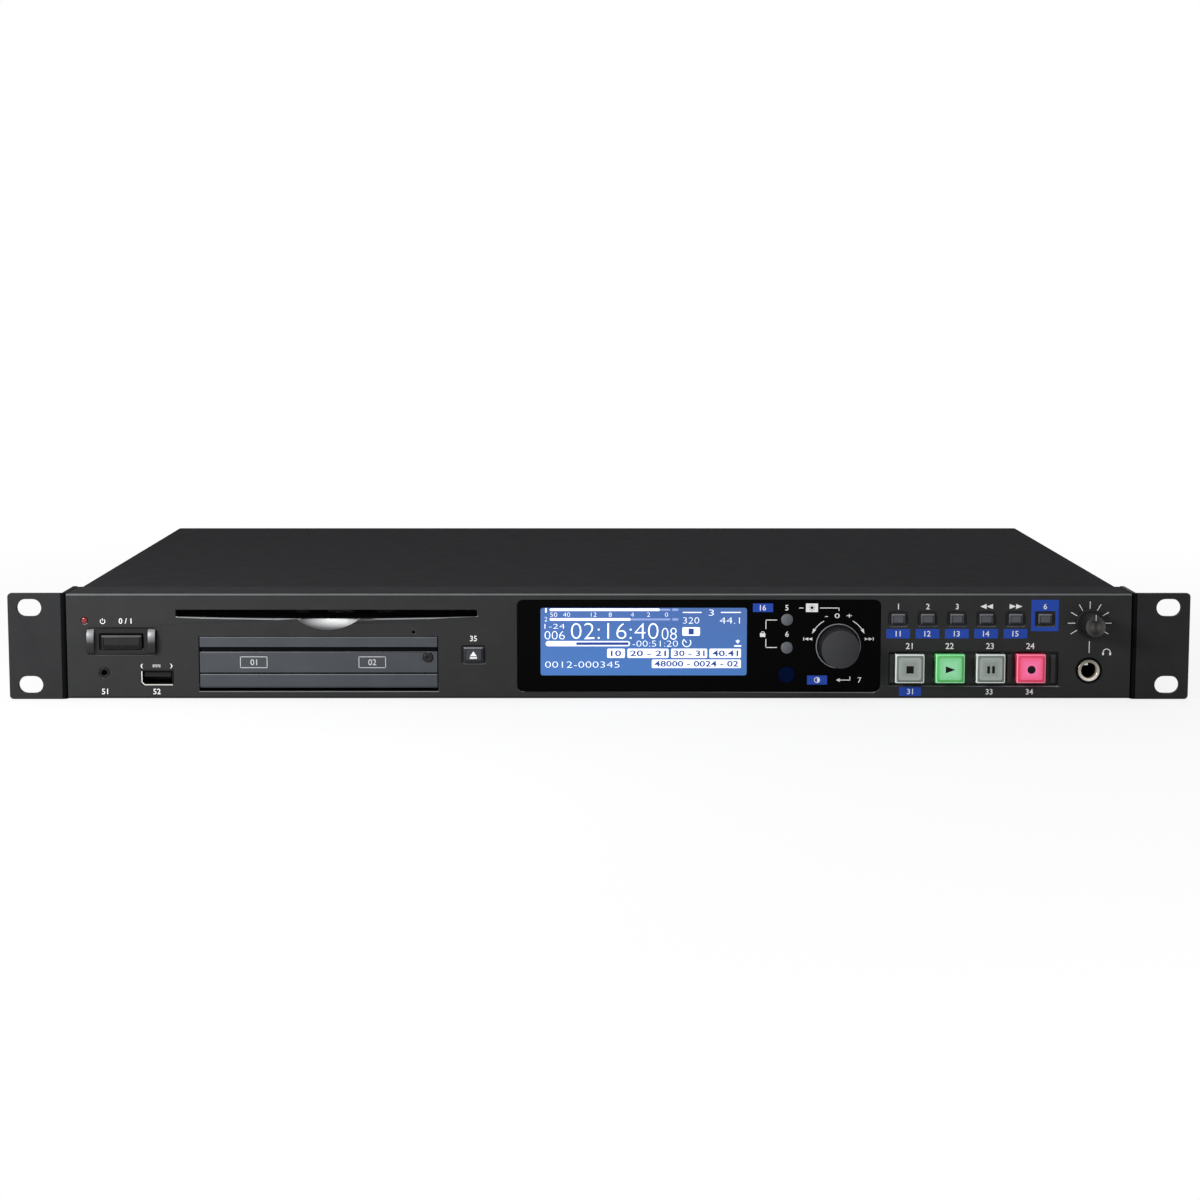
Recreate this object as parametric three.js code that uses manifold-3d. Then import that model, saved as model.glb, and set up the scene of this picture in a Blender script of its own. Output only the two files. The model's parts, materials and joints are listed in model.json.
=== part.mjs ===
// A rack recorder, one unit high, with a slot-in disc drive and two card slots behind a door.
// Millimetres. X runs to the right, Y to the back and Z up. The origin is the centre of the underside.

import * as THREE from 'three';
import { mergeVertices } from 'three/addons/utils/BufferGeometryUtils.js';
import Module from 'manifold-3d';

const wasm = await Module();
wasm.setup();

// Case, panel and sheet metal
const rackHeight = 43.7;
const caseDepth = 280;
const bezelBelow = 0.3;
const bezelAbove = 0.25;
const bezelDepth = 25;
const frontWall = 2.5;
const returnWall = 2;
const edgeChamfer = 0.6;
const sheet = 1;
const bendRadius = 1.6;
const coverInset = 1;
const coverDrop = 0.3;
const coverSkirtGap = 0.3;
const coverLip = 4.5;

// Fits and cuts
const overrun = 1;
const fitGap = 0.3;
const closeGap = 0.15;

// The chain across the panel, from its left edge to its right edge
const guardFromEdge = 8.16;
const guardWidth = 28.56;
const guardToSlot = 7.88;
const slotToBay = 9.23;
const bayWidth = 97.89;
const bayToEject = 14.43;
const ejectToWindow = 17.86;
const windowWidth = 148.56;
const windowToTray = 3.46;
const trayWidth = 69.4;
const trayToEdge = 29.37;

// Rack ears
const earReach = 21.9;
const earThickness = 2;
const earBend = 2.5;
const earCorner = 1.5;
const slotSpacing = 31.75;
const slotFromEnd = 8.75;
const slotLength = 10;
const slotHeight = 7.1;
const earScrewRadius = 1.7;
const earScrewFromFront = 15;
const earScrewFromEnd = 9;

// Lamp, power button and its guard
const lampFromEdge = 7.33;
const lampFromTop = 10.98;
const lampRadius = 1.4;
const lampProud = 0.4;
const lampShoulderShare = 0.7;
const guardFromTop = 13.99;
const guardHeight = 11.13;
const guardCorner = 1.6;
const guardSeat = 1;
const guardProud = 0.5;
const guardPocketMargin = 0.9;
const pillarWidth = 2.9;
const pillarReach = 2.2;
const pillarFromEnd = 0.35;
const pillarRim = 0.4;
const powerWidth = 16.6;
const powerHeight = 5.2;
const powerBevel = 0.6;
const powerProud = 1.2;
const powerTravel = 0.8;

// Sockets on the left
const remoteFromGuard = 6.85;
const remoteFromBottom = 10.67;
const remoteNoseRadius = 2.1;
const remoteBore = 1.25;
const remoteBody = 6.4;
const remoteBoreDepth = 10;
const usbFromBottom = 8.56;
const usbWidth = 12.98;
const usbHeight = 6.12;
const usbShell = 0.35;
const usbDepth = 12.4;
const usbProud = 0.2;
const usbTongueThickness = 1.85;
const usbTongueMargin = 0.6;
const usbTongueSetback = 1.1;

// Disc slot, finger scoop and eject pinhole
const slotWidth = 123.1;
const slotFromTop = 6.55;
const slotEndHeight = 2.8;
const slotBow = 0.85;
const scoopWidth = 26.1;
const scoopDrop = 4.6;
const scoopShift = 0.65;
const scoopSphere = 45;
const pinholeFromBay = 10.02;
const pinholeAboveBay = 1.69;
const pinholeRadius = 0.7;

// Card bay, its door and lock screw
const bayFromBottom = 2.93;
const scoopToBay = 2.74;
const bayFrameWall = 0.9;
const bayDepth = 40;
const doorGapSide = 0.4;
const doorGapBelow = 1.24;
const doorGapAbove = 0.25;
const doorGrooveFromTop = 4.13;
const doorGrooveHeight = 2.19;
const doorGrooveDepth = 1.2;
const doorLineFromBottom = 5.71;
const doorLineHeight = 0.83;
const doorLineDepth = 0.5;
const trunnionRadius = 0.6;
const trunnionLength = 1.5;
const trunnionClear = 0.25;
const screwFromSide = 3.8;
const screwFromBottom = 12.82;
const screwHeadRadius = 2.05;
const screwHeadProud = 0.6;
const screwSeat = 1;
const screwShankRadius = 1;
const screwShankBehind = 1.5;
const screwClear = 0.5;
const screwSocketRadius = 0.9;
const screwSocketDepth = 0.8;
const lockLugWidth = 7;
const lockLugThickness = 2.2;
const socketWidth = 28;
const socketHeight = 3.6;
const socketLength = 28;
const cardWidth = 24.6;
const cardHeight = 2.5;
const cardDepth = 23;
const socketShift = 24.3;
const shelfFromBottom = 7;

// Eject button
const ejectFromBottom = 18.13;
const ejectWidth = 8.15;
const ejectHeight = 6.4;
const ejectFrameWidth = 9.77;
const ejectFrameHeight = 7.64;
const ejectProud = 1;

// Display window and what is in it
const windowRailBelow = 2.8;
const windowRailAbove = 2.47;
const windowCorner = 2.4;
const paneThickness = 1.5;
const lcdFromLeft = 9.57;
const lcdFromBottom = 6.75;
const lcdHeight = 27.85;
const lcdBorder = 1.2;
const lcdFrame = 3;
const lcdToKeys = 16.36;
const windowKeysToJog = 21;
const homeFromTop = 8.14;
const mediaFromBottom = 18.2;
const irFromBottom = 7.04;
const roundKeyRadius = 2.45;
const roundKeyProud = 0.8;
const irRadius = 3.35;
const irShoulder = 0.7;
const jogFromRight = 17.37;
const jogRingOuter = 9.3;
const jogRingInner = 8.6;
const jogRingProud = 0.9;
const jogRingChamfer = 0.3;
const jogFaceRadius = 7.85;
const jogBaseRadius = 8.25;
const jogProud = 12.5;
const jogRound = 0.7;
const jogBaseGap = 0.3;
const jogWall = 1.2;
const jogTop = 3;
const jogHubRadius = 4.2;
const jogShaftRadius = 3;
const jogShaftFlat = 0.7;
const jogTravel = 0.5;
const encoderWidth = 13;
const encoderBushRadius = 4.5;
const rotorRadius = 4.8;
const rotorThickness = 1.6;
const rotorFromBoard = 2.2;

// Small keys and the large buttons
const keyFromTray = 3.61;
const keyPitch = 11.98;
const keyFromTop = 10.35;
const keyWidth = 5.6;
const keyHeight = 4.3;
const keyFrameWidth = 8.05;
const keyFrameHeight = 6.2;
const frameDepth = 0.5;
const frameCorner = 0.9;
const keyProud = 1;
const keyTravel = 0.6;
const keyBevel = 0.3;
const flangeMargin = 0.8;
const flangeThickness = 0.8;
const stemRadius = 1.4;
const stemGap = 0.1;
const trayFromBottom = 5.21;
const trayHeight = 14.06;
const trayFlange = 1;
const trayFloor = 1.2;
const trayCorner = 0.8;
const largeFromTray = 8.22;
const largePitch = 16.5;
const largeRise = 0.5;
const largeSize = 11.8;
const largeCorner = 1.2;
const largeBevel = 1.1;
const largeProud = 4;
const largeTravel = 0.9;
const trayRibWidth = 1.8;
const trayRibInset = 1.2;
const trayRibHeight = 1.8;

// Phones knob and jack
const phonesFromEdge = 17;
const phonesKnobFromTop = 12.05;
const phonesJackFromBottom = 11.62;
const knobFaceRadius = 4.35;
const knobGripRadius = 4.8;
const knobSkirtRadius = 5.9;
const knobSkirtDepth = 2;
const knobProud = 13;
const knobRound = 0.35;
const knobHollowRadius = 3.9;
const knobHollowDepth = 7;
const knobFlutes = 20;
const knobFluteDepth = 0.3;
const pointerWidth = 0.7;
const pointerDepth = 0.35;
const potShaftRadius = 1.5;
const potBushRadius = 3.2;
const potBushProud = 3;
const potWidth = 10;
const potHeight = 11;
const potDepth = 8;
const potShaftInside = 5;
const jackRingRadius = 4.45;
const jackRingProud = 0.9;
const jackBore = 3.25;
const jackNoseRadius = 4;
const jackBody = 12.4;
const jackDepth = 26;
const jackBoreEnd = 1.5;

// Circuit boards behind the panel
const boardThickness = 1.6;
const boardSetback = 9.5;
const boardMargin = 1;
const inputSetback = 11.8;
const switchSize = 6;
const switchHeight = 4.2;
const plungerRadius = 1.7;
const plungerHeight = 0.9;
const powerSwitchWidth = 10;
const ribThickness = 1.2;
const ribBeforeWindow = 8;
const ribAfterTray = 2.6;
const inputRibFromWall = 3.2;
const inputRibFromRemote = 8.4;

// Disc drive
const driveWidth = 128;
const driveDepth = 132;
const driveSetback = 3.5;
const driveGapAbove = 0.1;
const driveHeight = 13.7;
const driveWall = 1;
const driveLidHeight = 3.8;
const mouthWidth = 124;
const mouthBelow = 0.8;
const mouthAbove = 4.8;
const discUnderside = 6.75;
const spindleFromFront = 62;
const motorRadius = 11;
const motorHeight = 2.3;
const turntableRadius = 13;
const turntableHeight = 1.3;
const hubRadius = 7.3;
const hubHeight = 1.2;
const spindleShaftRadius = 1;
const rollerFromFront = 7;
const rollerRadius = 2.5;
const rollerWaist = 2.1;
const rollerShaftRadius = 1;
const rollerEndGap = 2;
const railOffset = 18;
const railRadius = 1.2;
const railHeight = 2.9;
const screwRadius = 1.3;
const sledBoss = 2.6;
const sledLength = 18;
const sledThickness = 3.8;
const sledWaist = 4;
const lensRadius = 2.2;
const lensHeight = 0.5;
const lensStart = 24;
const carrierFromSpindle = 13.3;
const carrierThickness = 1.4;
const carrierWidth = 5;
const stepperLength = 9;
const stepperWidth = 8;
const stepperHeight = 5.6;
const clampHoleRadius = 11;

// Floor, posts and boards in the case
const floorFlange = 12;
const tabReach = 11;
const tabBottom = 6;
const tabHeight = 22;
const standoffRadius = 3;
const standoffInset = 6;
const drivePostRadius = 3;
const drivePostInset = 5;
const frontPostFromBezel = 7;
const rearPostInset = 8;
const mainFromDrive = 9.7;
const mainBoardFromSide = 10;
const mainBoardPastNetwork = 20;
const supplyBoardWidth = 96;
const supplyFromSide = 12;
const supplyFromBack = 36;
const supplyFromFront = 52;
const ventCount = 9;
const ventPitch = 7;
const ventWidth = 3;
const ventLength = 28;
const sideVentHeight = 16;
const sideVentBottom = 18;
const ventFromBack = 26;
const coverScrewRadius = 1.6;
const coverScrewHeight = 6.5;
const coverScrewFromEnd = 30;
const lipScrewCount = 3;
const lipScrewPitch = 190;

// What stands on the main board and on the power supply board
const chipSize = 24;
const chipHeight = 2.4;
const memoryWidth = 12;
const memoryLength = 22;
const converterSize = 10;
const headerLength = 28;
const headerWidth = 5;
const headerHeight = 8;
const smallCanRadius = 4;
const smallCanHeight = 11;
const coreWidth = 42;
const coreLength = 36;
const coreHeight = 28;
const bobbinOverhang = 12;
const filterWidth = 30;
const filterLength = 14;
const filterHeight = 14;
const largeCanRadius = 11;
const largeCanHeight = 28;
const middleCanRadius = 6;
const middleCanHeight = 20;
const sinkFromFront = 20;
const sinkInset = 3;
const sinkRoot = 2.5;
const sinkLength = 60;
const sinkHeight = 24;
const finCount = 7;
const finReach = 14;
const bobbinWidthShare = 0.6;
const bobbinHeightShare = 0.8;

// Places on a board, as shares of its width and of its depth
const processorShares = [0.5, 0.4];
const memoryShares = [0.64, 0.4];
const converterShares = [[0.3, 0.55], [0.15, 0.55]];
const mainHeaderShares = [0.5, 0.06];
const sideHeaderShares = [0.92, 0.3];
const smallCanShares = [[0.1, 0.3], [0.18, 0.3], [0.26, 0.3], [0.8, 0.6]];
const coreShares = [0.5, 0.5];
const filterShares = [0.3, 0.92];
const supplyHeaderShares = [0.5, 0.08];
const largeCanShares = [0.28, 0.75];
const middleCanShares = [[0.3, 0.24], [0.52, 0.24]];

// Connectors on the back
const xlrFromSide = 27;
const xlrPitch = 30;
const xlrFlangeWidth = 26;
const xlrFlangeHeight = 31;
const xlrFlangeCorner = 2.5;
const xlrFlangeThickness = 1.5;
const xlrBodyRadius = 12;
const xlrHousing = 25;
const xlrHousingDepth = 21;
const xlrCupRadius = 9.6;
const xlrCupDepth = 14;
const xlrInsertRadius = 7.7;
const xlrPinRadius = 1.2;
const xlrPinLength = 9.5;
const xlrPinCircle = 4.9;
const xlrContactRadius = 1.5;
const xlrContactDepth = 8;
const latchWidth = 7;
const latchHeight = 2.6;
const latchProud = 1.2;
const xlrToRca = 38;
const rcaPitch = 14;
const rcaColumns = 3;
const rcaBarrelRadius = 4.15;
const rcaProud = 8;
const rcaHole = 1.6;
const rcaHoleDepth = 6;
const rcaFaceRecess = 0.5;
const rcaInsulatorRadius = 3.2;
const rcaBodyDepth = 12;
const rcaBodyMargin = 7;
const rcaToControl = 58;
const controlFlangeWidth = 53;
const controlFlangeHeight = 12.5;
const controlFlangeThickness = 0.8;
const controlShellWidth = 38.9;
const controlShellHeight = 8.3;
const controlShellSlope = 1;
const controlShellProud = 5.8;
const controlShellWall = 0.5;
const controlShellRecess = 0.8;
const controlBodyWidth = 41;
const controlBodyDepth = 11;
const standoffSpacing = 47;
const hexRadius = 2.6;
const hexProud = 4.6;
const controlToNetwork = 48;
const networkWidth = 16;
const networkHeight = 14;
const networkDepth = 20;
const networkMouthWidth = 11.9;
const networkMouthHeight = 8.2;
const networkMouthDepth = 13;
const networkLatchWidth = 4.4;
const networkLatchHeight = 2;
const inletFromSide = 40;
const inletFlangeWidth = 31;
const inletFlangeHeight = 24.5;
const inletFlangeThickness = 2;
const inletFlangeCorner = 2;
const inletBodyWidth = 27.4;
const inletBodyHeight = 20;
const inletBodyDepth = 22;
const inletCavityWidth = 24.4;
const inletCavityHeight = 16.8;
const inletCavityDepth = 20;
const inletCavityCut = 4.5;
const inletPinWidth = 2;
const inletPinHeight = 4;
const inletPinLength = 15;
const inletPinSpacing = 7;
const inletPinDrop = 2;
const inletEarthRise = 3;

// Facet counts
const roundSides = 30;
const mediumSides = 16;
const hiddenSides = 12;
const smallSides = 8;
const tinySides = 6;
const hexSides = 6;
const cornerSteps = 2;
const keyCornerSteps = 1;
const earBendSteps = 3;
const slotEndSteps = 5;
const bowSteps = 12;
const scoopSides = 60;
const scoopSteps = 10;

// Places that follow from the sizes above
const front = -caseDepth / 2;
const back = caseDepth / 2;
const wallBack = front + frontWall;
const bezelBack = front + bezelDepth;
const panelWidth = guardFromEdge + guardWidth + guardToSlot + slotToBay + bayWidth + bayToEject
  + ejectToWindow + windowWidth + windowToTray + trayWidth + trayToEdge;
const panelLeft = -panelWidth / 2;
const panelRight = panelWidth / 2;
const panelBottom = bezelBelow;
const panelTop = rackHeight - bezelAbove;

const guardLeft = panelLeft + guardFromEdge;
const guardRight = guardLeft + guardWidth;
const guardTop = panelTop - guardFromTop;
const guardBottom = guardTop - guardHeight;
const powerX = (guardLeft + guardRight) / 2;
const powerZ = (guardTop + guardBottom) / 2;
const lampX = panelLeft + lampFromEdge;
const lampZ = panelTop - lampFromTop;
const remoteX = guardLeft + remoteFromGuard;
const remoteZ = panelBottom + remoteFromBottom;
const usbX = guardRight;
const usbZ = panelBottom + usbFromBottom;

const slotLeft = guardRight + guardToSlot;
const slotRight = slotLeft + slotWidth;
const slotX = (slotLeft + slotRight) / 2;
const slotTop = panelTop - slotFromTop;
const slotLowest = slotTop - slotEndHeight - slotBow;
const scoopX = slotX + scoopShift;
const scoopBottom = slotLowest - scoopDrop;
const scoopRadius = ((scoopWidth / 2) ** 2 + scoopDrop ** 2) / (2 * scoopDrop);

const bayLeft = slotLeft + slotToBay;
const bayRight = bayLeft + bayWidth;
const bayBottom = panelBottom + bayFromBottom;
const bayTop = scoopBottom - scoopToBay;
const bayX = (bayLeft + bayRight) / 2;
const doorThickness = frontWall - closeGap;
const doorLeft = bayLeft + doorGapSide;
const doorRight = bayRight - doorGapSide;
const doorBottom = bayBottom + doorGapBelow;
const doorTop = bayTop - doorGapAbove;
const hingeY = front + doorThickness / 2;
const hingeZ = doorBottom + doorThickness / 2;
const screwX = doorRight - screwFromSide;
const screwZ = doorBottom + screwFromBottom;
const shelfTop = bayBottom + shelfFromBottom;

const ejectX = bayRight + bayToEject;
const ejectZ = panelBottom + ejectFromBottom;

const windowLeft = ejectX + ejectToWindow;
const windowRight = windowLeft + windowWidth;
const windowBottom = panelBottom + windowRailBelow;
const windowTop = panelTop - windowRailAbove;
const paneBack = front + paneThickness;
const lcdLeft = windowLeft + lcdFromLeft;
const jogX = windowRight - jogFromRight;
const windowKeysX = jogX - windowKeysToJog;
const lcdRight = windowKeysX - lcdToKeys;
const lcdBottom = windowBottom + lcdFromBottom;
const lcdTop = lcdBottom + lcdHeight;
const homeZ = windowTop - homeFromTop;
const mediaZ = windowBottom + mediaFromBottom;
const irZ = windowBottom + irFromBottom;
const jogZ = (windowBottom + windowTop) / 2;

const trayLeft = windowRight + windowToTray;
const trayRight = trayLeft + trayWidth;
const trayBottom = panelBottom + trayFromBottom;
const trayTop = trayBottom + trayHeight;
const trayBack = wallBack + trayFloor;
const keyZ = panelTop - keyFromTop;
const trayZ = (trayBottom + trayTop) / 2;
const largeZ = trayZ + largeRise;
const keyNames = ['menu', 'key', 'pitch', 'rewind', 'forward', 'shift'];
const largeNames = ['stop', 'play', 'pause', 'record'];
const keyX = keyNames.map((name, place) => trayLeft + keyFromTray + place * keyPitch);
const largeX = largeNames.map((name, place) => trayLeft + largeFromTray + place * largePitch);
const phonesX = panelRight - phonesFromEdge;
const knobZ = panelTop - phonesKnobFromTop;
const jackZ = panelBottom + phonesJackFromBottom;

const boardFront = wallBack + boardSetback;
const switchTop = boardFront - switchHeight - plungerHeight;
const inputFront = wallBack + inputSetback;
const inputSwitchTop = inputFront - switchHeight - plungerHeight;

const coverRight = panelRight - coverInset;
const coverLeft = -coverRight;
const coverTop = rackHeight - coverDrop;
const floorRight = coverRight - sheet - fitGap;
const floorLeft = -floorRight;
const panelOuter = back - sheet;
const panelInner = panelOuter - sheet;

const driveLeft = slotX - driveWidth / 2;
const driveRight = slotX + driveWidth / 2;
const driveFront = wallBack + driveSetback;
const driveBack = driveFront + driveDepth;
const driveTop = panelTop - returnWall - driveGapAbove;
const driveBottom = driveTop - driveHeight;
const driveSplit = driveTop - driveLidHeight;
const driveFloor = driveBottom + driveWall;
const discZ = driveBottom + discUnderside;
const spindleY = driveFront + spindleFromFront;
const motorTop = driveFloor + motorHeight;
const tableBottom = motorTop + fitGap;
const spindleFoot = driveFloor + driveWall;
const carrierFront = spindleY + carrierFromSpindle;
const carrierBack = carrierFront + carrierThickness;
const railZ = driveFloor + railHeight;

const connectorZ = rackHeight / 2;
const mainTop = connectorZ - xlrHousing / 2;
const mainBottom = mainTop - boardThickness;
const xlrX = [0, 1, 2, 3].map((place) => coverLeft + xlrFromSide + place * xlrPitch);
const rcaX = xlrX[3] + xlrToRca;
const controlX = rcaX + rcaToControl;
const networkX = controlX + controlToNetwork;
const inletX = coverRight - inletFromSide;
const networkZ = mainTop + networkHeight / 2;
const controlZ = mainTop + controlFlangeHeight / 2;

const supplyRight = floorRight - supplyFromSide;
const supplyLeft = supplyRight - supplyBoardWidth;
const supplyBack = panelInner - supplyFromBack;
const supplyFront = front + supplyFromFront;
const mainLeft = floorLeft + mainBoardFromSide;
const mainRight = networkX + mainBoardPastNetwork;
const mainBack = panelInner - fitGap;
const mainFront = driveBack + mainFromDrive;

// Closed three.js geometry as a solid that can be joined and cut
function toSolid(geometry) {
  geometry.deleteAttribute('normal');
  geometry.deleteAttribute('uv');
  const merged = mergeVertices(geometry);
  return new wasm.Manifold(new wasm.Mesh({
    numProp: 3,
    vertProperties: new Float32Array(merged.attributes.position.array),
    triVerts: new Uint32Array(merged.index.array),
  }));
}

function block(x0, x1, y0, y1, z0, z1) {
  const geometry = new THREE.BoxGeometry(x1 - x0, y1 - y0, z1 - z0);
  geometry.translate((x0 + x1) / 2, (y0 + y1) / 2, (z0 + z1) / 2);
  return toSolid(geometry);
}

// A block centred on a place of the panel, from one depth to another
function plate(x, z, width, height, y0, y1) {
  return block(x - width / 2, x + width / 2, y0, y1, z - height / 2, z + height / 2);
}

function rodX(radius, x0, x1, y, z, sides) {
  const geometry = new THREE.CylinderGeometry(radius, radius, x1 - x0, sides);
  geometry.rotateZ(-Math.PI / 2);
  geometry.translate((x0 + x1) / 2, y, z);
  return toSolid(geometry);
}

function rodY(radius, y0, y1, x, z, sides) {
  const geometry = new THREE.CylinderGeometry(radius, radius, y1 - y0, sides);
  geometry.translate(x, (y0 + y1) / 2, z);
  return toSolid(geometry);
}

function rodZ(radius, z0, z1, x, y, sides) {
  const geometry = new THREE.CylinderGeometry(radius, radius, z1 - z0, sides);
  geometry.rotateX(Math.PI / 2);
  geometry.translate(x, y, (z0 + z1) / 2);
  return toSolid(geometry);
}

function outline(points) {
  return new THREE.Shape(points.map(([across, up]) => new THREE.Vector2(across, up)));
}

function roundedOutline(x0, x1, z0, z1, radius) {
  const shape = new THREE.Shape();
  shape.absarc(x1 - radius, z1 - radius, radius, 0, Math.PI / 2);
  shape.absarc(x0 + radius, z1 - radius, radius, Math.PI / 2, Math.PI);
  shape.absarc(x0 + radius, z0 + radius, radius, Math.PI, 1.5 * Math.PI);
  shape.absarc(x1 - radius, z0 + radius, radius, 1.5 * Math.PI, 2 * Math.PI);
  return shape;
}

// Outline of a slot with half-round ends
function slottedOutline(x, z, length, height) {
  const radius = height / 2;
  const shape = new THREE.Shape();
  shape.absarc(x + length / 2 - radius, z, radius, -Math.PI / 2, Math.PI / 2);
  shape.absarc(x - length / 2 + radius, z, radius, Math.PI / 2, 1.5 * Math.PI);
  return shape;
}

// An outline seen from the front, extruded from one depth to another
function frontPrism(shape, y0, y1, steps = cornerSteps) {
  const geometry = new THREE.ExtrudeGeometry(shape, {
    depth: y1 - y0,
    bevelEnabled: false,
    curveSegments: steps,
  });
  geometry.rotateX(Math.PI / 2);
  geometry.translate(0, y1, 0);
  return toSolid(geometry);
}

// An outline in Y and Z, extruded along X
function sidePrism(shape, x0, x1) {
  const geometry = new THREE.ExtrudeGeometry(shape, { depth: x1 - x0, bevelEnabled: false });
  geometry.applyMatrix4(new THREE.Matrix4().set(0, 0, 1, x0, 1, 0, 0, 0, 0, 1, 0, 0, 0, 0, 0, 1));
  return toSolid(geometry);
}

// An outline in X and Y, extruded upwards
function upPrism(shape, z0, z1, steps = cornerSteps) {
  const geometry = new THREE.ExtrudeGeometry(shape, {
    depth: z1 - z0,
    bevelEnabled: false,
    curveSegments: steps,
  });
  geometry.translate(0, 0, z0);
  return toSolid(geometry);
}

// A profile of radius and depth, turned about an axis that runs from front to back
function turned(profile, x, z, sides) {
  const points = profile.map(([radius, y]) => new THREE.Vector2(radius, y));
  const geometry = new THREE.LatheGeometry(points, sides);
  geometry.translate(x, 0, z);
  return toSolid(geometry);
}

// A profile of radius and place along X, turned about an axis that runs across
function turnedAcross(profile, y, z, sides) {
  const points = profile.map(([radius, x]) => new THREE.Vector2(radius, x));
  const geometry = new THREE.LatheGeometry(points, sides);
  geometry.rotateZ(-Math.PI / 2);
  geometry.translate(0, y, z);
  return toSolid(geometry);
}

// A profile of radius and height, turned about an upright axis
function turnedUp(profile, x, y, sides) {
  const points = profile.map(([radius, z]) => new THREE.Vector2(radius, z));
  const geometry = new THREE.LatheGeometry(points, sides);
  geometry.rotateX(Math.PI / 2);
  geometry.translate(x, y, 0);
  return toSolid(geometry);
}

// A cap with rounded corners and a bevel round its front face
function cap(x, z, width, height, corner, bevel, y0, y1, steps = keyCornerSteps) {
  const shape = roundedOutline(x - width / 2, x + width / 2, z - height / 2, z + height / 2, corner);
  const geometry = new THREE.ExtrudeGeometry(shape, {
    depth: y1 - y0 - bevel,
    bevelThickness: bevel,
    bevelSize: bevel,
    bevelOffset: -bevel,
    bevelSegments: 1,
    curveSegments: steps,
  });
  geometry.rotateX(Math.PI / 2);
  geometry.translate(0, y1, 0);
  const behind = plate(x, z, width + overrun, height + overrun, y1, y1 + bevel + overrun);
  return toSolid(geometry).subtract(behind);
}

function joined(first, ...others) {
  return others.reduce((whole, next) => whole.add(next), first);
}

function cutBy(first, ...others) {
  return others.reduce((whole, next) => whole.subtract(next), first);
}

const recorder = new THREE.Group();

function finish(colour, roughness, metalness = 0) {
  return new THREE.MeshStandardMaterial({ color: colour, roughness, metalness });
}

const panelPlastic = finish('#323232', 0.55);
const darkPlastic = finish('#1a1a1c', 0.5);
const keyPlastic = finish('#54575c', 0.45);
const doorPlastic = finish('#4c5055', 0.5);
const glossBlack = finish('#050506', 0.08);
const blackSteel = finish('#26272a', 0.55, 0.4);
const bareSteel = finish('#a8aaac', 0.4, 0.9);
const brightMetal = finish('#cfccc4', 0.22, 1);
const boardGreen = finish('#1f5a36', 0.6);
const clearCap = finish('#a5aca4', 0.2);
const greenCap = finish('#6cc070', 0.2);
const redCap = finish('#e83a60', 0.2);
const lampRed = finish('#b03030', 0.3);
const deepBlue = finish('#10204c', 0.2);
const displayBlue = finish('#5a80c8', 0.3);
const rubberBlack = finish('#202020', 0.9);

function addPart(name, solid, material) {
  const mesh = solid.getMesh();
  const geometry = new THREE.BufferGeometry();
  geometry.setAttribute('position', new THREE.BufferAttribute(mesh.vertProperties, 3));
  geometry.setIndex(new THREE.BufferAttribute(mesh.triVerts, 1));
  geometry.computeVertexNormals();
  const part = new THREE.Mesh(geometry, material);
  part.name = name;
  recorder.add(part);
}

// Outline of the disc slot, with its lower edge bowed down in the middle
function slotOutline() {
  const shape = new THREE.Shape();
  shape.moveTo(slotLeft, slotTop);
  shape.lineTo(slotLeft, slotTop - slotEndHeight);
  shape.quadraticCurveTo(slotX, slotLowest - slotBow, slotRight, slotTop - slotEndHeight);
  shape.lineTo(slotRight, slotTop);
  return shape;
}

// Dish that the finger scoop takes out of the panel, below the slot
function scoopDish() {
  const centreZ = scoopBottom + scoopRadius;
  const centreY = front - Math.sqrt(scoopSphere ** 2 - scoopRadius ** 2);
  const start = front - overrun;
  const startAngle = Math.acos((start - centreY) / scoopSphere);
  const profile = [[0, start]];
  for (let step = 0; step <= scoopSteps; step += 1) {
    const angle = startAngle * (1 - step / scoopSteps);
    const radius = step === scoopSteps ? 0 : scoopSphere * Math.sin(angle);
    profile.push([radius, centreY + scoopSphere * Math.cos(angle)]);
  }
  const dish = turned(profile, scoopX, centreZ, scoopSides);
  const below = block(scoopX - scoopWidth, scoopX + scoopWidth, start - overrun, back,
    panelBottom, slotLowest + slotBow / 2);
  return dish.intersect(below);
}

// Section of the bezel in Y and Z: a channel where it is open, and a full end where it is closed
function bezelSection(open) {
  const frontEdge = [
    [front + edgeChamfer, panelTop],
    [front, panelTop - edgeChamfer],
    [front, panelBottom + edgeChamfer],
    [front + edgeChamfer, panelBottom],
    [bezelBack, panelBottom],
  ];
  const inside = [
    [bezelBack, panelBottom + returnWall],
    [wallBack, panelBottom + returnWall],
    [wallBack, panelTop - returnWall],
    [bezelBack, panelTop - returnWall],
  ];
  return outline([...frontEdge, ...(open ? inside : []), [bezelBack, panelTop]]);
}

function rib(x, top, depth) {
  return block(x - ribThickness / 2, x + ribThickness / 2, wallBack, depth,
    panelBottom + returnWall / 2, top);
}

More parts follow.
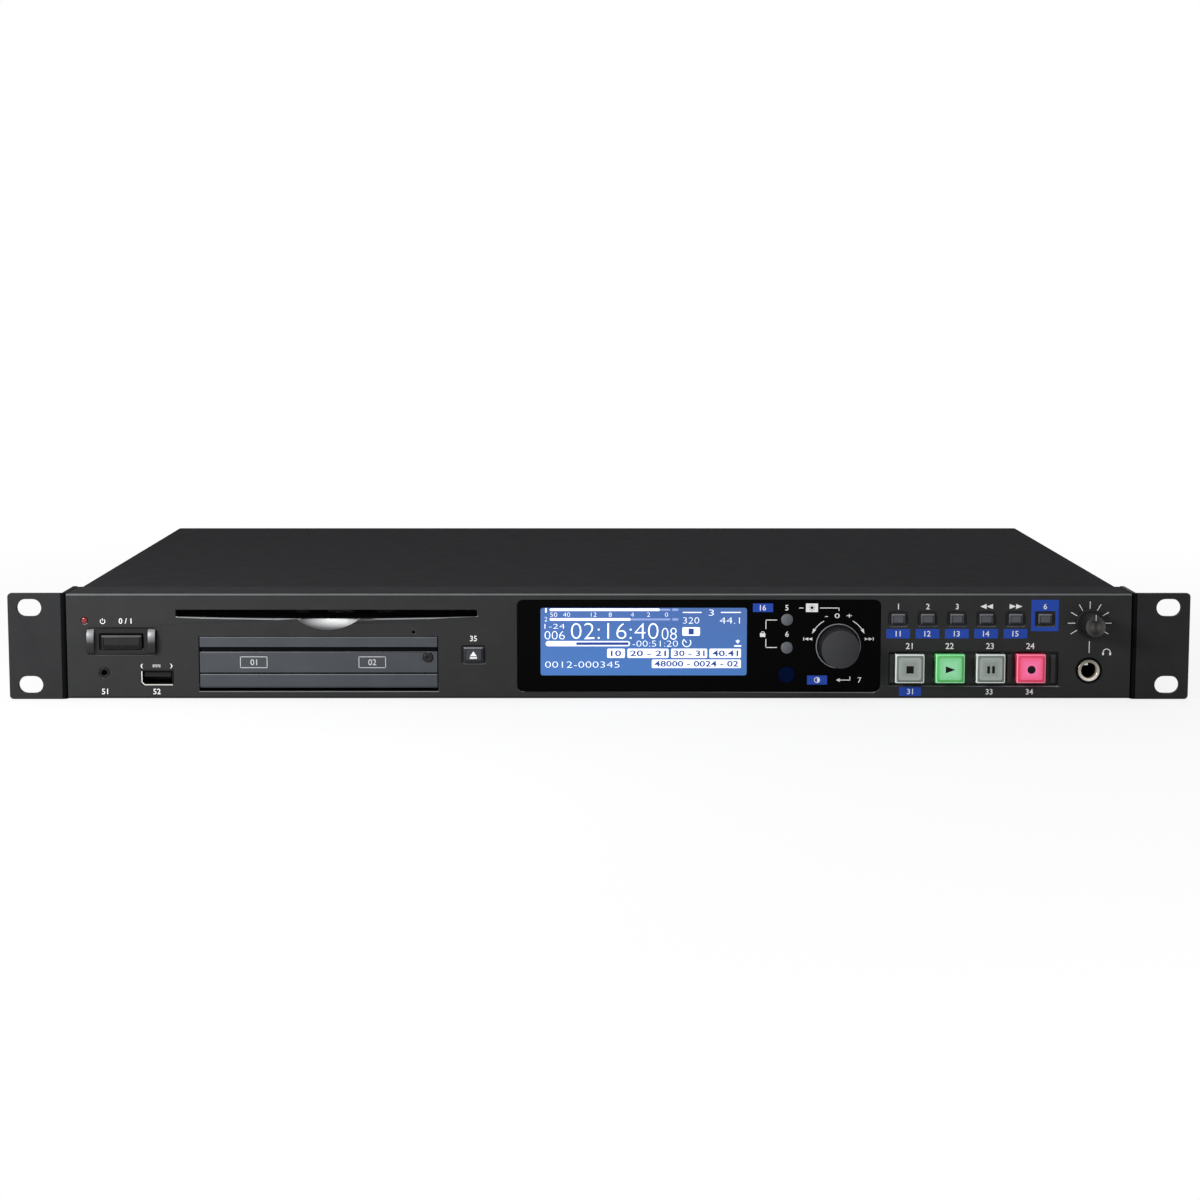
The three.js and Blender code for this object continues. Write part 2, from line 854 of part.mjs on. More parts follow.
function frontBezel() {
  const fullTop = panelTop - returnWall / 2;
  let bezel = joined(
    sidePrism(bezelSection(true), panelLeft, panelRight),
    sidePrism(bezelSection(false), panelLeft, panelLeft + returnWall),
    sidePrism(bezelSection(false), panelRight - returnWall, panelRight),
    rib(windowLeft - ribBeforeWindow, fullTop, boardFront),
    rib(trayLeft - windowToTray / 2, fullTop, boardFront),
    rib(trayRight + ribAfterTray, fullTop, boardFront),
    rib(panelLeft + returnWall + inputRibFromWall, guardTop, inputFront),
    rib(remoteX + inputRibFromRemote, guardBottom, inputFront),
  );
  const ahead = front - overrun;
  const behind = wallBack + overrun;
  const framed = (x, z, width, height, frameWidth, frameHeight) => [
    frontPrism(roundedOutline(x - frameWidth / 2, x + frameWidth / 2, z - frameHeight / 2,
      z + frameHeight / 2, frameCorner), ahead, front + frameDepth, keyCornerSteps),
    plate(x, z, width + 2 * closeGap, height + 2 * closeGap, ahead, wallBack),
  ];
  bezel = cutBy(
    bezel,
    rodY(lampRadius + closeGap, ahead, wallBack, lampX, lampZ, smallSides),
    frontPrism(roundedOutline(guardLeft, guardRight, guardBottom, guardTop, guardCorner), ahead,
      front + guardSeat),
    plate(powerX, powerZ, powerWidth + 2 * fitGap, powerHeight + 2 * fitGap, ahead, wallBack),
    rodY(remoteNoseRadius + closeGap, ahead, wallBack, remoteX, remoteZ, mediumSides),
    plate(usbX, usbZ, usbWidth + 2 * closeGap, usbHeight + 2 * closeGap, ahead, wallBack),
    frontPrism(slotOutline(), ahead, behind, bowSteps),
    scoopDish(),
    rodY(pinholeRadius, ahead, behind, bayRight - pinholeFromBay, bayTop + pinholeAboveBay, tinySides),
    block(bayLeft, bayRight, ahead, behind, bayBottom, bayTop),
    rodX(trunnionRadius + trunnionClear, doorLeft - trunnionLength - trunnionClear,
      doorRight + trunnionLength + trunnionClear, hingeY, hingeZ, tinySides),
    ...framed(ejectX, ejectZ, ejectWidth, ejectHeight, ejectFrameWidth, ejectFrameHeight),
    frontPrism(roundedOutline(windowLeft, windowRight, windowBottom, windowTop, windowCorner), ahead,
      paneBack),
    block(lcdLeft - lcdBorder, lcdRight + lcdBorder, ahead, behind, lcdBottom - lcdBorder,
      lcdTop + lcdBorder),
    rodY(roundKeyRadius + closeGap, ahead, behind, windowKeysX, homeZ, mediumSides),
    rodY(roundKeyRadius + closeGap, ahead, behind, windowKeysX, mediaZ, mediumSides),
    rodY(irRadius - irShoulder + closeGap, ahead, behind, windowKeysX, irZ, mediumSides),
    rodY(encoderBushRadius + closeGap, ahead, behind, jogX, jogZ, mediumSides),
    frontPrism(roundedOutline(trayLeft, trayRight, trayBottom, trayTop, trayCorner), ahead, behind),
    rodY(potBushRadius + closeGap, ahead, behind, phonesX, knobZ, mediumSides),
    rodY(jackNoseRadius + closeGap, ahead, behind, phonesX, jackZ, mediumSides),
  );
  return keyX.reduce((whole, x) => cutBy(
    whole,
    ...framed(x, keyZ, keyWidth, keyHeight, keyFrameWidth, keyFrameHeight),
  ), bezel);
}

// Pane with rounded corners and round holes for the keys, the lens and the jog ring
function displayWindow() {
  const ahead = front - overrun;
  const behind = paneBack + overrun;
  return cutBy(
    frontPrism(roundedOutline(windowLeft + closeGap, windowRight - closeGap, windowBottom + closeGap,
      windowTop - closeGap, windowCorner), front, paneBack),
    rodY(roundKeyRadius + closeGap, ahead, behind, windowKeysX, homeZ, mediumSides),
    rodY(roundKeyRadius + closeGap, ahead, behind, windowKeysX, mediaZ, mediumSides),
    rodY(irRadius + closeGap, ahead, behind, windowKeysX, irZ, mediumSides),
    rodY(jogRingOuter + closeGap, ahead, behind, jogX, jogZ, roundSides),
  );
}

function lcdModule() {
  return joined(
    block(lcdLeft - lcdFrame, lcdRight + lcdFrame, wallBack, boardFront, lcdBottom - lcdFrame,
      lcdTop + lcdFrame),
    block(lcdLeft, lcdRight, paneBack + closeGap, wallBack, lcdBottom, lcdTop),
  );
}

// Flange and stem that hold a button behind the panel and reach its switch
function buttonBack(x, z, width, height, stopY, endY) {
  const flangeBack = stopY + fitGap + flangeThickness;
  return joined(
    plate(x, z, width + 2 * flangeMargin, height + 2 * flangeMargin, stopY + fitGap, flangeBack),
    rodY(stemRadius, flangeBack, endY, x, z, tinySides),
  );
}

function squareButton(x, z, width, height, corner, bevel, proud, travel) {
  return joined(
    cap(x, z, width, height, corner, bevel, front - proud, wallBack + fitGap),
    buttonBack(x, z, width, height, wallBack, switchTop - travel - stemGap),
  );
}

function roundButton(x, z) {
  const stop = wallBack + fitGap;
  const stemEnd = switchTop - keyTravel - stemGap;
  return turned([
    [0, front - roundKeyProud],
    [roundKeyRadius - keyBevel, front - roundKeyProud],
    [roundKeyRadius, front - roundKeyProud + keyBevel],
    [roundKeyRadius, stop],
    [roundKeyRadius + flangeMargin, stop],
    [roundKeyRadius + flangeMargin, stop + flangeThickness],
    [stemRadius, stop + flangeThickness],
    [stemRadius, stemEnd],
    [0, stemEnd],
  ], x, z, mediumSides);
}

function largeButton(x) {
  return joined(
    cap(x, largeZ, largeSize, largeSize, largeCorner, largeBevel, front - largeProud, trayBack + fitGap,
      cornerSteps),
    buttonBack(x, largeZ, largeSize, largeSize, trayBack, switchTop - largeTravel - stemGap),
  );
}

function irLens() {
  return turned([
    [0, front],
    [irRadius, front],
    [irRadius, paneBack],
    [irRadius - irShoulder, paneBack],
    [irRadius - irShoulder, boardFront],
    [0, boardFront],
  ], windowKeysX, irZ, mediumSides);
}

function jogRing() {
  return turned([
    [jogRingInner, front - jogRingProud],
    [jogRingOuter - jogRingChamfer, front - jogRingProud],
    [jogRingOuter, front - jogRingProud + jogRingChamfer],
    [jogRingOuter, paneBack],
    [jogRingInner, paneBack],
    [jogRingInner, front - jogRingProud],
  ], jogX, jogZ, roundSides);
}

// Block above the flat of the jog shaft, or of a bore with this radius round it
function shaftFlat(radius, y0, y1) {
  return block(jogX - 2 * radius, jogX + 2 * radius, y0, y1, jogZ + radius - jogShaftFlat, jogZ + 2 * radius);
}

function jogKnob() {
  const face = front - jogProud;
  const base = front + jogBaseGap;
  const shaftEnd = boardFront - jogTravel - fitGap;
  const knob = turned([
    [0, face],
    [jogFaceRadius - jogRound, face],
    [jogFaceRadius - jogRound / 4, face + jogRound / 4],
    [jogFaceRadius, face + jogRound],
    [jogBaseRadius, base],
    [jogBaseRadius - jogWall, base],
    [jogBaseRadius - jogWall, face + jogTop],
    [jogHubRadius, face + jogTop],
    [jogHubRadius, base],
    [jogShaftRadius, base],
    [jogShaftRadius, shaftEnd],
    [0, shaftEnd],
  ], jogX, jogZ, roundSides);
  return knob.subtract(shaftFlat(jogShaftRadius, base, shaftEnd + overrun));
}

function jogRotor() {
  const rotorBack = boardFront - rotorFromBoard;
  const rotorFront = rotorBack - rotorThickness;
  const bore = jogShaftRadius + closeGap;
  const hole = cutBy(
    rodY(bore, rotorFront - overrun, rotorBack + overrun, jogX, jogZ, hiddenSides),
    shaftFlat(bore, rotorFront - 2 * overrun, rotorBack + 2 * overrun),
  );
  return rodY(rotorRadius, rotorFront, rotorBack, jogX, jogZ, hiddenSides).subtract(hole);
}

function jogEncoder() {
  const cavityBack = boardFront - rotorFromBoard + fitGap;
  const cavityFront = cavityBack - rotorThickness - 2 * fitGap;
  const bushFront = paneBack - closeGap;
  return cutBy(
    joined(
      plate(jogX, jogZ, encoderWidth, encoderWidth, wallBack, boardFront),
      rodY(encoderBushRadius, bushFront, wallBack + overrun, jogX, jogZ, hiddenSides),
    ),
    rodY(jogShaftRadius + fitGap, bushFront - overrun, boardFront + overrun, jogX, jogZ, hiddenSides),
    rodY(rotorRadius + fitGap, cavityFront, cavityBack, jogX, jogZ, hiddenSides),
  );
}

// Guard round the power button, with a rib at each side that bows out like half a disc
function powerButtonGuard() {
  const face = front - guardProud;
  const pillar = (x) => {
    const round = new THREE.CylinderGeometry(1, 1, pillarWidth, mediumSides);
    round.rotateZ(Math.PI / 2);
    round.scale(1, pillarReach, guardHeight / 2 - pillarRim);
    round.translate(x, face, powerZ);
    return toSolid(round).subtract(plate(x, powerZ, guardWidth, 2 * guardHeight, front + guardSeat, back));
  };
  return cutBy(
    joined(
      frontPrism(roundedOutline(guardLeft + closeGap, guardRight - closeGap, guardBottom + closeGap,
        guardTop - closeGap, guardCorner), face, front + guardSeat),
      pillar(guardLeft + pillarFromEnd + pillarWidth / 2),
      pillar(guardRight - pillarFromEnd - pillarWidth / 2),
    ),
    frontPrism(roundedOutline(powerX - powerWidth / 2 - guardPocketMargin,
      powerX + powerWidth / 2 + guardPocketMargin, powerZ - powerHeight / 2 - guardPocketMargin,
      powerZ + powerHeight / 2 + guardPocketMargin, guardPocketMargin), face - overrun, wallBack),
  );
}

function powerButton() {
  return joined(
    cap(powerX, powerZ, powerWidth, powerHeight, powerBevel, powerBevel, front - powerProud,
      wallBack + fitGap),
    buttonBack(powerX, powerZ, powerWidth, powerHeight, wallBack, inputSwitchTop - powerTravel - stemGap),
  );
}

function standbyLamp() {
  return turned([
    [0, front - lampProud],
    [lampRadius * lampShoulderShare, front - lampProud * lampShoulderShare],
    [lampRadius, front],
    [lampRadius, inputFront],
    [0, inputFront],
  ], lampX, lampZ, smallSides);
}

function remoteJack() {
  return cutBy(
    joined(
      rodY(remoteNoseRadius, front, wallBack, remoteX, remoteZ, mediumSides),
      plate(remoteX, remoteZ, remoteBody, remoteBody, wallBack, inputFront),
    ),
    rodY(remoteBore, front - overrun, front + remoteBoreDepth, remoteX, remoteZ, smallSides),
  );
}

function usbPort() {
  const inside = usbHeight - 2 * usbShell;
  const tongueTop = usbZ + inside / 2 - usbTongueMargin;
  const tongueWidth = usbWidth - 2 * usbShell - 2 * usbTongueMargin;
  return joined(
    plate(usbX, usbZ, usbWidth, usbHeight, front - usbProud, inputFront)
      .subtract(plate(usbX, usbZ, usbWidth - 2 * usbShell, inside, front - overrun, front + usbDepth)),
    block(usbX - tongueWidth / 2, usbX + tongueWidth / 2, front + usbTongueSetback,
      front + usbDepth + closeGap, tongueTop - usbTongueThickness, tongueTop),
  );
}

// Upright board: a wide foot under the disc drive and a narrower part beside it
function inputBoard() {
  const left = floorLeft + sheet + boardMargin;
  const wide = usbX + usbWidth / 2 + boardMargin;
  const narrow = driveLeft - boardMargin;
  const low = panelBottom + returnWall + boardMargin;
  const step = guardBottom;
  const high = panelTop - returnWall - boardMargin;
  return joined(
    frontPrism(outline([
      [left, low],
      [wide, low],
      [wide, step],
      [narrow, step],
      [narrow, high],
      [left, high],
    ]), inputFront, inputFront + boardThickness),
    plate(powerX, powerZ, powerSwitchWidth, switchSize, inputFront - switchHeight, inputFront),
    rodY(plungerRadius, inputSwitchTop, inputFront - switchHeight, powerX, powerZ, tinySides),
  );
}

// Board behind the keys, with a tongue to the eject button and a switch behind each key
function frontBoard() {
  const left = windowLeft + boardMargin;
  const right = trayRight + ribAfterTray + boardMargin;
  const low = panelBottom + returnWall + boardMargin;
  const high = panelTop - returnWall - boardMargin;
  const tongueLeft = ejectX - switchSize;
  const tongueLow = ejectZ - switchSize;
  const tongueHigh = ejectZ + switchSize;
  const places = [
    [ejectX, ejectZ],
    [windowKeysX, homeZ],
    [windowKeysX, mediaZ],
    ...keyX.map((x) => [x, keyZ]),
    ...largeX.map((x) => [x, largeZ]),
  ];
  const board = frontPrism(outline([
    [left, low],
    [right, low],
    [right, high],
    [left, high],
    [left, tongueHigh],
    [tongueLeft, tongueHigh],
    [tongueLeft, tongueLow],
    [left, tongueLow],
  ]), boardFront, boardFront + boardThickness);
  return places.reduce((whole, [x, z]) => joined(
    whole,
    plate(x, z, switchSize, switchSize, boardFront - switchHeight, boardFront),
    rodY(plungerRadius, switchTop, boardFront - switchHeight, x, z, tinySides),
  ), board);
}

// Tray behind the opening round the large buttons, with upright ribs and four square holes
function transportTray() {
  const ribHeight = trayHeight - 2 * trayRibInset;
  const ribX = [
    trayLeft + trayRibInset,
    largeX[3] - largePitch / 2,
    trayRight - trayRibInset - trayRibWidth / 2,
  ];
  return cutBy(
    joined(
      block(trayLeft - trayFlange, trayRight + trayFlange, wallBack, trayBack, trayBottom - trayFlange,
        trayTop + trayFlange),
      ...ribX.map((x) => plate(x, trayZ, trayRibWidth, ribHeight, wallBack - trayRibHeight, trayBack)),
    ),
    ...largeX.map((x) => plate(x, largeZ, largeSize + 2 * closeGap, largeSize + 2 * closeGap,
      front - overrun, trayBack + overrun)),
  );
}

function trunnionPin(x0, x1) {
  return rodX(trunnionRadius, x0, x1, hingeY, hingeZ, tinySides);
}

// Door that turns about two pins moulded on its rounded lower edge
function sdDoor() {
  const doorBack = front + doorThickness;
  const grooveTop = doorTop - doorGrooveFromTop;
  const lineBottom = doorBottom + doorLineFromBottom;
  return cutBy(
    joined(
      block(doorLeft, doorRight, front, doorBack, hingeZ, doorTop),
      rodX(doorThickness / 2, doorLeft, doorRight, hingeY, hingeZ, mediumSides),
      trunnionPin(doorLeft - trunnionLength, doorLeft + trunnionLength),
      trunnionPin(doorRight - trunnionLength, doorRight + trunnionLength),
    ),
    block(doorLeft - overrun, doorRight + overrun, front - overrun, front + doorGrooveDepth,
      grooveTop - doorGrooveHeight, grooveTop),
    block(doorLeft - overrun, doorRight + overrun, front - overrun, front + doorLineDepth, lineBottom,
      lineBottom + doorLineHeight),
    rodY(screwHeadRadius + closeGap, front - overrun, front + screwSeat, screwX, screwZ, mediumSides),
    rodY(screwShankRadius + closeGap, front, doorBack + overrun, screwX, screwZ, smallSides),
  );
}

function securityScrew() {
  const face = front - screwHeadProud;
  const end = front + doorThickness + screwShankBehind;
  const screw = turned([
    [0, face],
    [screwHeadRadius - screwHeadProud / 2, face],
    [screwHeadRadius, face + screwHeadProud / 2],
    [screwHeadRadius, front + screwSeat],
    [screwShankRadius, front + screwSeat],
    [screwShankRadius, end],
    [0, end],
  ], screwX, screwZ, hiddenSides);
  return screw.subtract(rodY(screwSocketRadius, face - overrun, face + screwSocketDepth, screwX, screwZ,
    hexSides));
}

// Open box behind the door, with a shelf for the card sockets and a lug for the lock screw
function sdBayFrame() {
  const end = wallBack + bayDepth;
  return cutBy(
    joined(
      block(bayLeft - bayFrameWall, bayRight + bayFrameWall, wallBack, end, bayBottom - bayFrameWall,
        bayTop + bayFrameWall).subtract(block(bayLeft, bayRight, wallBack - overrun, end - bayFrameWall,
        bayBottom, bayTop)),
      block(bayLeft - bayFrameWall / 2, bayRight + bayFrameWall / 2, end - socketLength - bayFrameWall,
        end - bayFrameWall / 2, shelfTop - bayFrameWall, shelfTop),
      block(bayRight - lockLugWidth, bayRight + bayFrameWall / 2, wallBack, wallBack + lockLugThickness,
        screwZ - lockLugWidth / 2, screwZ + lockLugWidth / 2),
    ),
    rodY(screwShankRadius + screwClear, wallBack - overrun, wallBack + lockLugThickness + overrun, screwX,
      screwZ, smallSides),
  );
}

function cardSocket(x) {
  const end = wallBack + bayDepth - bayFrameWall;
  const mouth = end - socketLength;
  const middle = shelfTop + socketHeight / 2;
  return cutBy(
    plate(x, middle, socketWidth, socketHeight, mouth, end),
    plate(x, middle, cardWidth, cardHeight, mouth - overrun, mouth + cardDepth),
  );
}

// Knob with a fluted grip, a wider skirt, a hollow back and a shaft down its middle
function phonesKnob() {
  const face = front - knobProud;
  const base = front - fitGap;
  const skirtTop = base - knobSkirtDepth;
  const hollowEnd = base - knobHollowDepth;
  const grip = new THREE.LatheGeometry([
    [0, face],
    [knobFaceRadius - knobRound, face],
    [knobFaceRadius, face + knobRound],
    [knobGripRadius, skirtTop + knobRound],
    [0, skirtTop + knobRound],
  ].map(([radius, y]) => new THREE.Vector2(radius, y)), 2 * knobFlutes);
  const place = grip.attributes.position;
  for (let point = 0; point < place.count; point += 1) {
    const radius = Math.hypot(place.getX(point), place.getZ(point));
    const turn = Math.round(Math.atan2(place.getX(point), place.getZ(point)) * knobFlutes / Math.PI);
    if (turn % 2 !== 0 && radius > knobFaceRadius - knobRound / 2) {
      const drawn = (radius - knobFluteDepth) / radius;
      place.setXYZ(point, place.getX(point) * drawn, place.getY(point), place.getZ(point) * drawn);
    }
  }
  grip.translate(phonesX, 0, knobZ);
  const skirt = turned([
    [0, skirtTop],
    [knobSkirtRadius - knobRound, skirtTop],
    [knobSkirtRadius, skirtTop + knobRound],
    [knobSkirtRadius, base],
    [0, base],
  ], phonesX, knobZ, roundSides);
  const pointer = block(phonesX - pointerWidth / 2, phonesX + pointerWidth / 2, face - overrun,
    face + pointerDepth, knobZ, knobZ + knobFaceRadius + overrun);
  return cutBy(
    joined(toSolid(grip), skirt),
    rodY(knobHollowRadius, hollowEnd, base + overrun, phonesX, knobZ, hiddenSides),
    pointer,
  ).add(rodY(potShaftRadius, hollowEnd - overrun, wallBack + potShaftInside, phonesX, knobZ, smallSides));
}

function phonesPot() {
  return cutBy(
    joined(
      plate(phonesX, knobZ, potWidth, potHeight, wallBack, wallBack + potDepth),
      rodY(potBushRadius, front - potBushProud, wallBack + overrun, phonesX, knobZ, mediumSides),
    ),
    rodY(potShaftRadius + fitGap, front - potBushProud - overrun, wallBack + potShaftInside + fitGap, phonesX,
      knobZ, smallSides),
  );
}

function phonesJack() {
  const end = wallBack + jackDepth;
  return cutBy(
    joined(
      plate(phonesX, jackZ, jackBody, jackBody, wallBack, end),
      rodY(jackNoseRadius, front - jackRingProud, wallBack + overrun, phonesX, jackZ, mediumSides),
      rodY(jackRingRadius, front - jackRingProud, front, phonesX, jackZ, roundSides),
    ),
    rodY(jackBore, front - jackRingProud - overrun, end - jackBoreEnd, phonesX, jackZ, mediumSides),
  );
}

// Bent bracket: a side plate along the bezel's end and a slotted front plate
function rackEar(side) {
  const inner = panelRight;
  const outer = inner + earThickness;
  const tip = inner + earThickness + earReach;
  const shape = new THREE.Shape();
  shape.moveTo(side * inner, bezelBack);
  shape.lineTo(side * outer, bezelBack);
  shape.lineTo(side * outer, front + earThickness);
  shape.lineTo(side * tip, front + earThickness);
  shape.lineTo(side * tip, front);
  shape.lineTo(side * (inner + earBend), front);
  shape.quadraticCurveTo(side * inner, front, side * inner, front + earBend);
  const slotCentre = tip - slotFromEnd;
  const slots = [-1, 1].map((up) => frontPrism(
    slottedOutline(side * slotCentre, rackHeight / 2 + up * slotSpacing / 2, slotLength, slotHeight),
    front - overrun,
    front + earThickness + overrun,
    slotEndSteps,
  ));
  const x0 = Math.min(side * inner, side * outer) - overrun;
  const x1 = Math.max(side * inner, side * outer) + overrun;
  const screwHoles = [earScrewFromEnd, rackHeight - earScrewFromEnd].map((z) => rodX(earScrewRadius, x0, x1,
    front + earScrewFromFront, z, smallSides));
  const face = [side * tip, side * (inner - earReach)];
  const corners = frontPrism(roundedOutline(Math.min(...face), Math.max(...face), 0, rackHeight, earCorner),
    front - overrun, bezelBack + overrun);
  return cutBy(upPrism(shape, 0, rackHeight, earBendSteps).intersect(corners), ...slots, ...screwHoles);
}

// Folded cover: top, two sides and a lip over the top of the rear panel
function topCover() {
  const arch = (left, right, bottom, top, radius) => {
    const shape = new THREE.Shape();
    shape.moveTo(left, bottom);
    shape.lineTo(right, bottom);
    shape.absarc(right - radius, top - radius, radius, 0, Math.PI / 2);
    shape.absarc(left + radius, top - radius, radius, Math.PI / 2, Math.PI);
    return shape;
  };
  const hollowTop = coverTop - sheet;
  let cover = cutBy(
    frontPrism(arch(coverLeft, coverRight, coverSkirtGap, coverTop, bendRadius), bezelBack, back),
    frontPrism(arch(coverLeft + sheet, coverRight - sheet, -overrun, hollowTop, bendRadius - sheet),
      bezelBack - overrun, panelOuter),
    block(coverLeft + sheet, coverRight - sheet, panelInner, back + overrun, -overrun, hollowTop - coverLip),
  );
  for (const y of [bezelBack + coverScrewFromEnd, back - coverScrewFromEnd]) {
    cover = cover.subtract(rodX(coverScrewRadius, coverLeft - overrun, coverRight + overrun, y,
      coverScrewHeight, tinySides));
  }
  for (let place = 0; place < lipScrewCount; place += 1) {
    const x = (place - (lipScrewCount - 1) / 2) * lipScrewPitch;
    cover = cover.subtract(rodY(coverScrewRadius, panelOuter - overrun, back + overrun, x,
      hollowTop - coverLip / 2, tinySides));
  }
  for (let place = 0; place < ventCount; place += 1) {
    const y = back - ventFromBack - ventPitch * place;
    cover = cover.subtract(block(coverLeft - overrun, coverRight + overrun, y - ventWidth, y, sideVentBottom,
      sideVentBottom + sideVentHeight));
  }
  return cover;
}

function standoffs(x0, x1, y0, y1) {
  const places = [[x0, y0], [x1, y0], [x0, y1], [x1, y1]];
  return places.map(([x, y]) => rodZ(standoffRadius, sheet / 2, mainBottom, x, y, tinySides));
}

// Folded floor with side flanges, tabs into the bezel, board standoffs and drive posts
function bottomChassis() {
  const flange = (x0, x1) => joined(
    block(x0, x1, bezelBack, panelOuter, 0, floorFlange),
    block(x0, x1, bezelBack - tabReach, bezelBack + tabReach, tabBottom, tabBottom + tabHeight),
  );
  let chassis = joined(
    block(floorLeft, floorRight, bezelBack, panelOuter, 0, sheet),
    flange(floorLeft, floorLeft + sheet),
    flange(floorRight - sheet, floorRight),
    ...standoffs(mainLeft + standoffInset, mainRight - standoffInset, mainFront + standoffInset,
      mainBack - standoffInset),
    ...standoffs(supplyLeft + standoffInset, supplyRight - standoffInset, supplyFront + standoffInset,
      supplyBack - standoffInset),
  );
  for (const x of [driveLeft + drivePostInset, driveRight - drivePostInset]) {
    for (const y of [bezelBack + frontPostFromBezel, driveBack - rearPostInset]) {
      chassis = chassis.add(rodZ(drivePostRadius, sheet / 2, driveBottom, x, y, tinySides));
    }
  }
  for (const y of [bezelBack + coverScrewFromEnd, back - coverScrewFromEnd]) {
    chassis = chassis.subtract(rodX(coverScrewRadius, floorLeft - overrun, floorRight + overrun, y,
      coverScrewHeight, tinySides));
  }
  for (let place = 0; place < ventCount; place += 1) {
    const x = (supplyLeft + supplyRight) / 2 + (place - (ventCount - 1) / 2) * ventPitch;
    chassis = chassis.subtract(block(x - ventWidth / 2, x + ventWidth / 2, supplyFront + 2 * ventLength,
      supplyFront + 3 * ventLength, -overrun, sheet + overrun));
  }
  return chassis;
}

function rcaPlaces() {
  const places = [];
  for (let column = 0; column < rcaColumns; column += 1) {
    for (const up of [-1, 1]) {
      places.push([rcaX + (column - (rcaColumns - 1) / 2) * rcaPitch, connectorZ + up * rcaPitch / 2]);
    }
  }
  return places;
}

function rearPanel() {
  const y0 = panelInner - overrun;
  const y1 = panelOuter + overrun;
  return cutBy(
    block(floorLeft + sheet, floorRight - sheet, panelInner, panelOuter, sheet, coverTop - sheet - fitGap),
    ...xlrX.map((x) => rodY(xlrBodyRadius + closeGap, y0, y1, x, connectorZ, mediumSides)),
    ...rcaPlaces().map(([x, z]) => rodY(rcaBarrelRadius + closeGap, y0, y1, x, z, hiddenSides)),
    plate(controlX, controlZ, controlShellWidth + 2 * closeGap, controlShellHeight + 2 * closeGap, y0, y1),
    plate(networkX, networkZ, networkWidth + 2 * closeGap, networkHeight + 2 * closeGap, y0, y1),
    plate(inletX, connectorZ, inletBodyWidth + 2 * closeGap, inletBodyHeight + 2 * closeGap, y0, y1),
  );
}

// Round panel connector with a rectangular flange: three contacts in it, as pins or as sockets
function xlrConnector(x, pins) {
  const face = panelOuter + xlrFlangeThickness;
  const corners = roundedOutline(x - xlrFlangeWidth / 2, x + xlrFlangeWidth / 2,
    connectorZ - xlrFlangeHeight / 2, connectorZ + xlrFlangeHeight / 2, xlrFlangeCorner);
  const body = joined(
    frontPrism(corners, panelOuter, face),
    rodY(xlrBodyRadius, panelInner - overrun, panelOuter + overrun, x, connectorZ, mediumSides),
    plate(x, connectorZ, xlrHousing, xlrHousing, panelInner - xlrHousingDepth, panelInner),
  );
  const contacts = [0, 1, 2].map((place) => {
    const angle = Math.PI + (place - 1) * Math.PI / 2;
    return [x + xlrPinCircle * Math.sin(angle), connectorZ + xlrPinCircle * Math.cos(angle)];
  });
  const cup = rodY(xlrCupRadius, face - xlrCupDepth, face + overrun, x, connectorZ, mediumSides);
  if (pins) {
    const cupEnd = face - xlrCupDepth;
    return joined(body.subtract(cup), ...contacts.map(([pinX, pinZ]) => rodY(xlrPinRadius, cupEnd - overrun,
      cupEnd + xlrPinLength, pinX, pinZ, tinySides)));
  }
  const insert = rodY(xlrInsertRadius, face - xlrCupDepth - overrun, face, x, connectorZ, mediumSides);
  const holes = contacts.map(([holeX, holeZ]) => rodY(xlrContactRadius, face - xlrContactDepth,
    face + overrun, holeX, holeZ, tinySides));
  const latch = plate(x, connectorZ + (xlrCupRadius + xlrFlangeHeight / 2) / 2, latchWidth, latchHeight,
    face - overrun, face + latchProud);
  return joined(cutBy(body.subtract(cup).add(insert), ...holes), latch);
}

function rcaBlock() {
  const tip = panelOuter + rcaProud;
  const half = (rcaColumns - 1) * rcaPitch / 2 + rcaBodyMargin;
  const body = block(rcaX - half, rcaX + half, panelInner - rcaBodyDepth, panelInner, mainTop,
    connectorZ + rcaPitch / 2 + rcaBodyMargin);
  return rcaPlaces().reduce((whole, [x, z]) => cutBy(
    whole.add(rodY(rcaBarrelRadius, panelInner - overrun, tip, x, z, hiddenSides)),
    rodY(rcaInsulatorRadius, tip - rcaFaceRecess, tip + overrun, x, z, smallSides),
    rodY(rcaHole, tip - rcaHoleDepth, tip + overrun, x, z, tinySides),
  ), body);
}

// Trapezoid connector shell on a flange, with a hexagonal screw post at each side
function controlConnector() {
  const face = panelOuter + controlFlangeThickness;
  const shell = (inset) => outline([
    [controlX - controlShellWidth / 2 + inset, controlZ + controlShellHeight / 2 - inset],
    [controlX + controlShellWidth / 2 - inset, controlZ + controlShellHeight / 2 - inset],
    [controlX + controlShellWidth / 2 - inset - controlShellSlope, controlZ - controlShellHeight / 2 + inset],
    [controlX - controlShellWidth / 2 + inset + controlShellSlope, controlZ - controlShellHeight / 2 + inset],
  ]);
  const tip = face + controlShellProud;
  return joined(
    plate(controlX, controlZ, controlFlangeWidth, controlFlangeHeight, panelOuter, face),
    frontPrism(shell(0), panelInner - overrun, tip)
      .subtract(frontPrism(shell(controlShellWall), tip - controlShellRecess, tip + overrun)),
    plate(controlX, controlZ, controlBodyWidth, controlFlangeHeight, panelInner - controlBodyDepth,
      panelInner),
    ...[-1, 1].map((side) => rodY(hexRadius, face - controlFlangeThickness / 2, face + hexProud,
      controlX + side * standoffSpacing / 2, controlZ, hexSides)),
  );
}

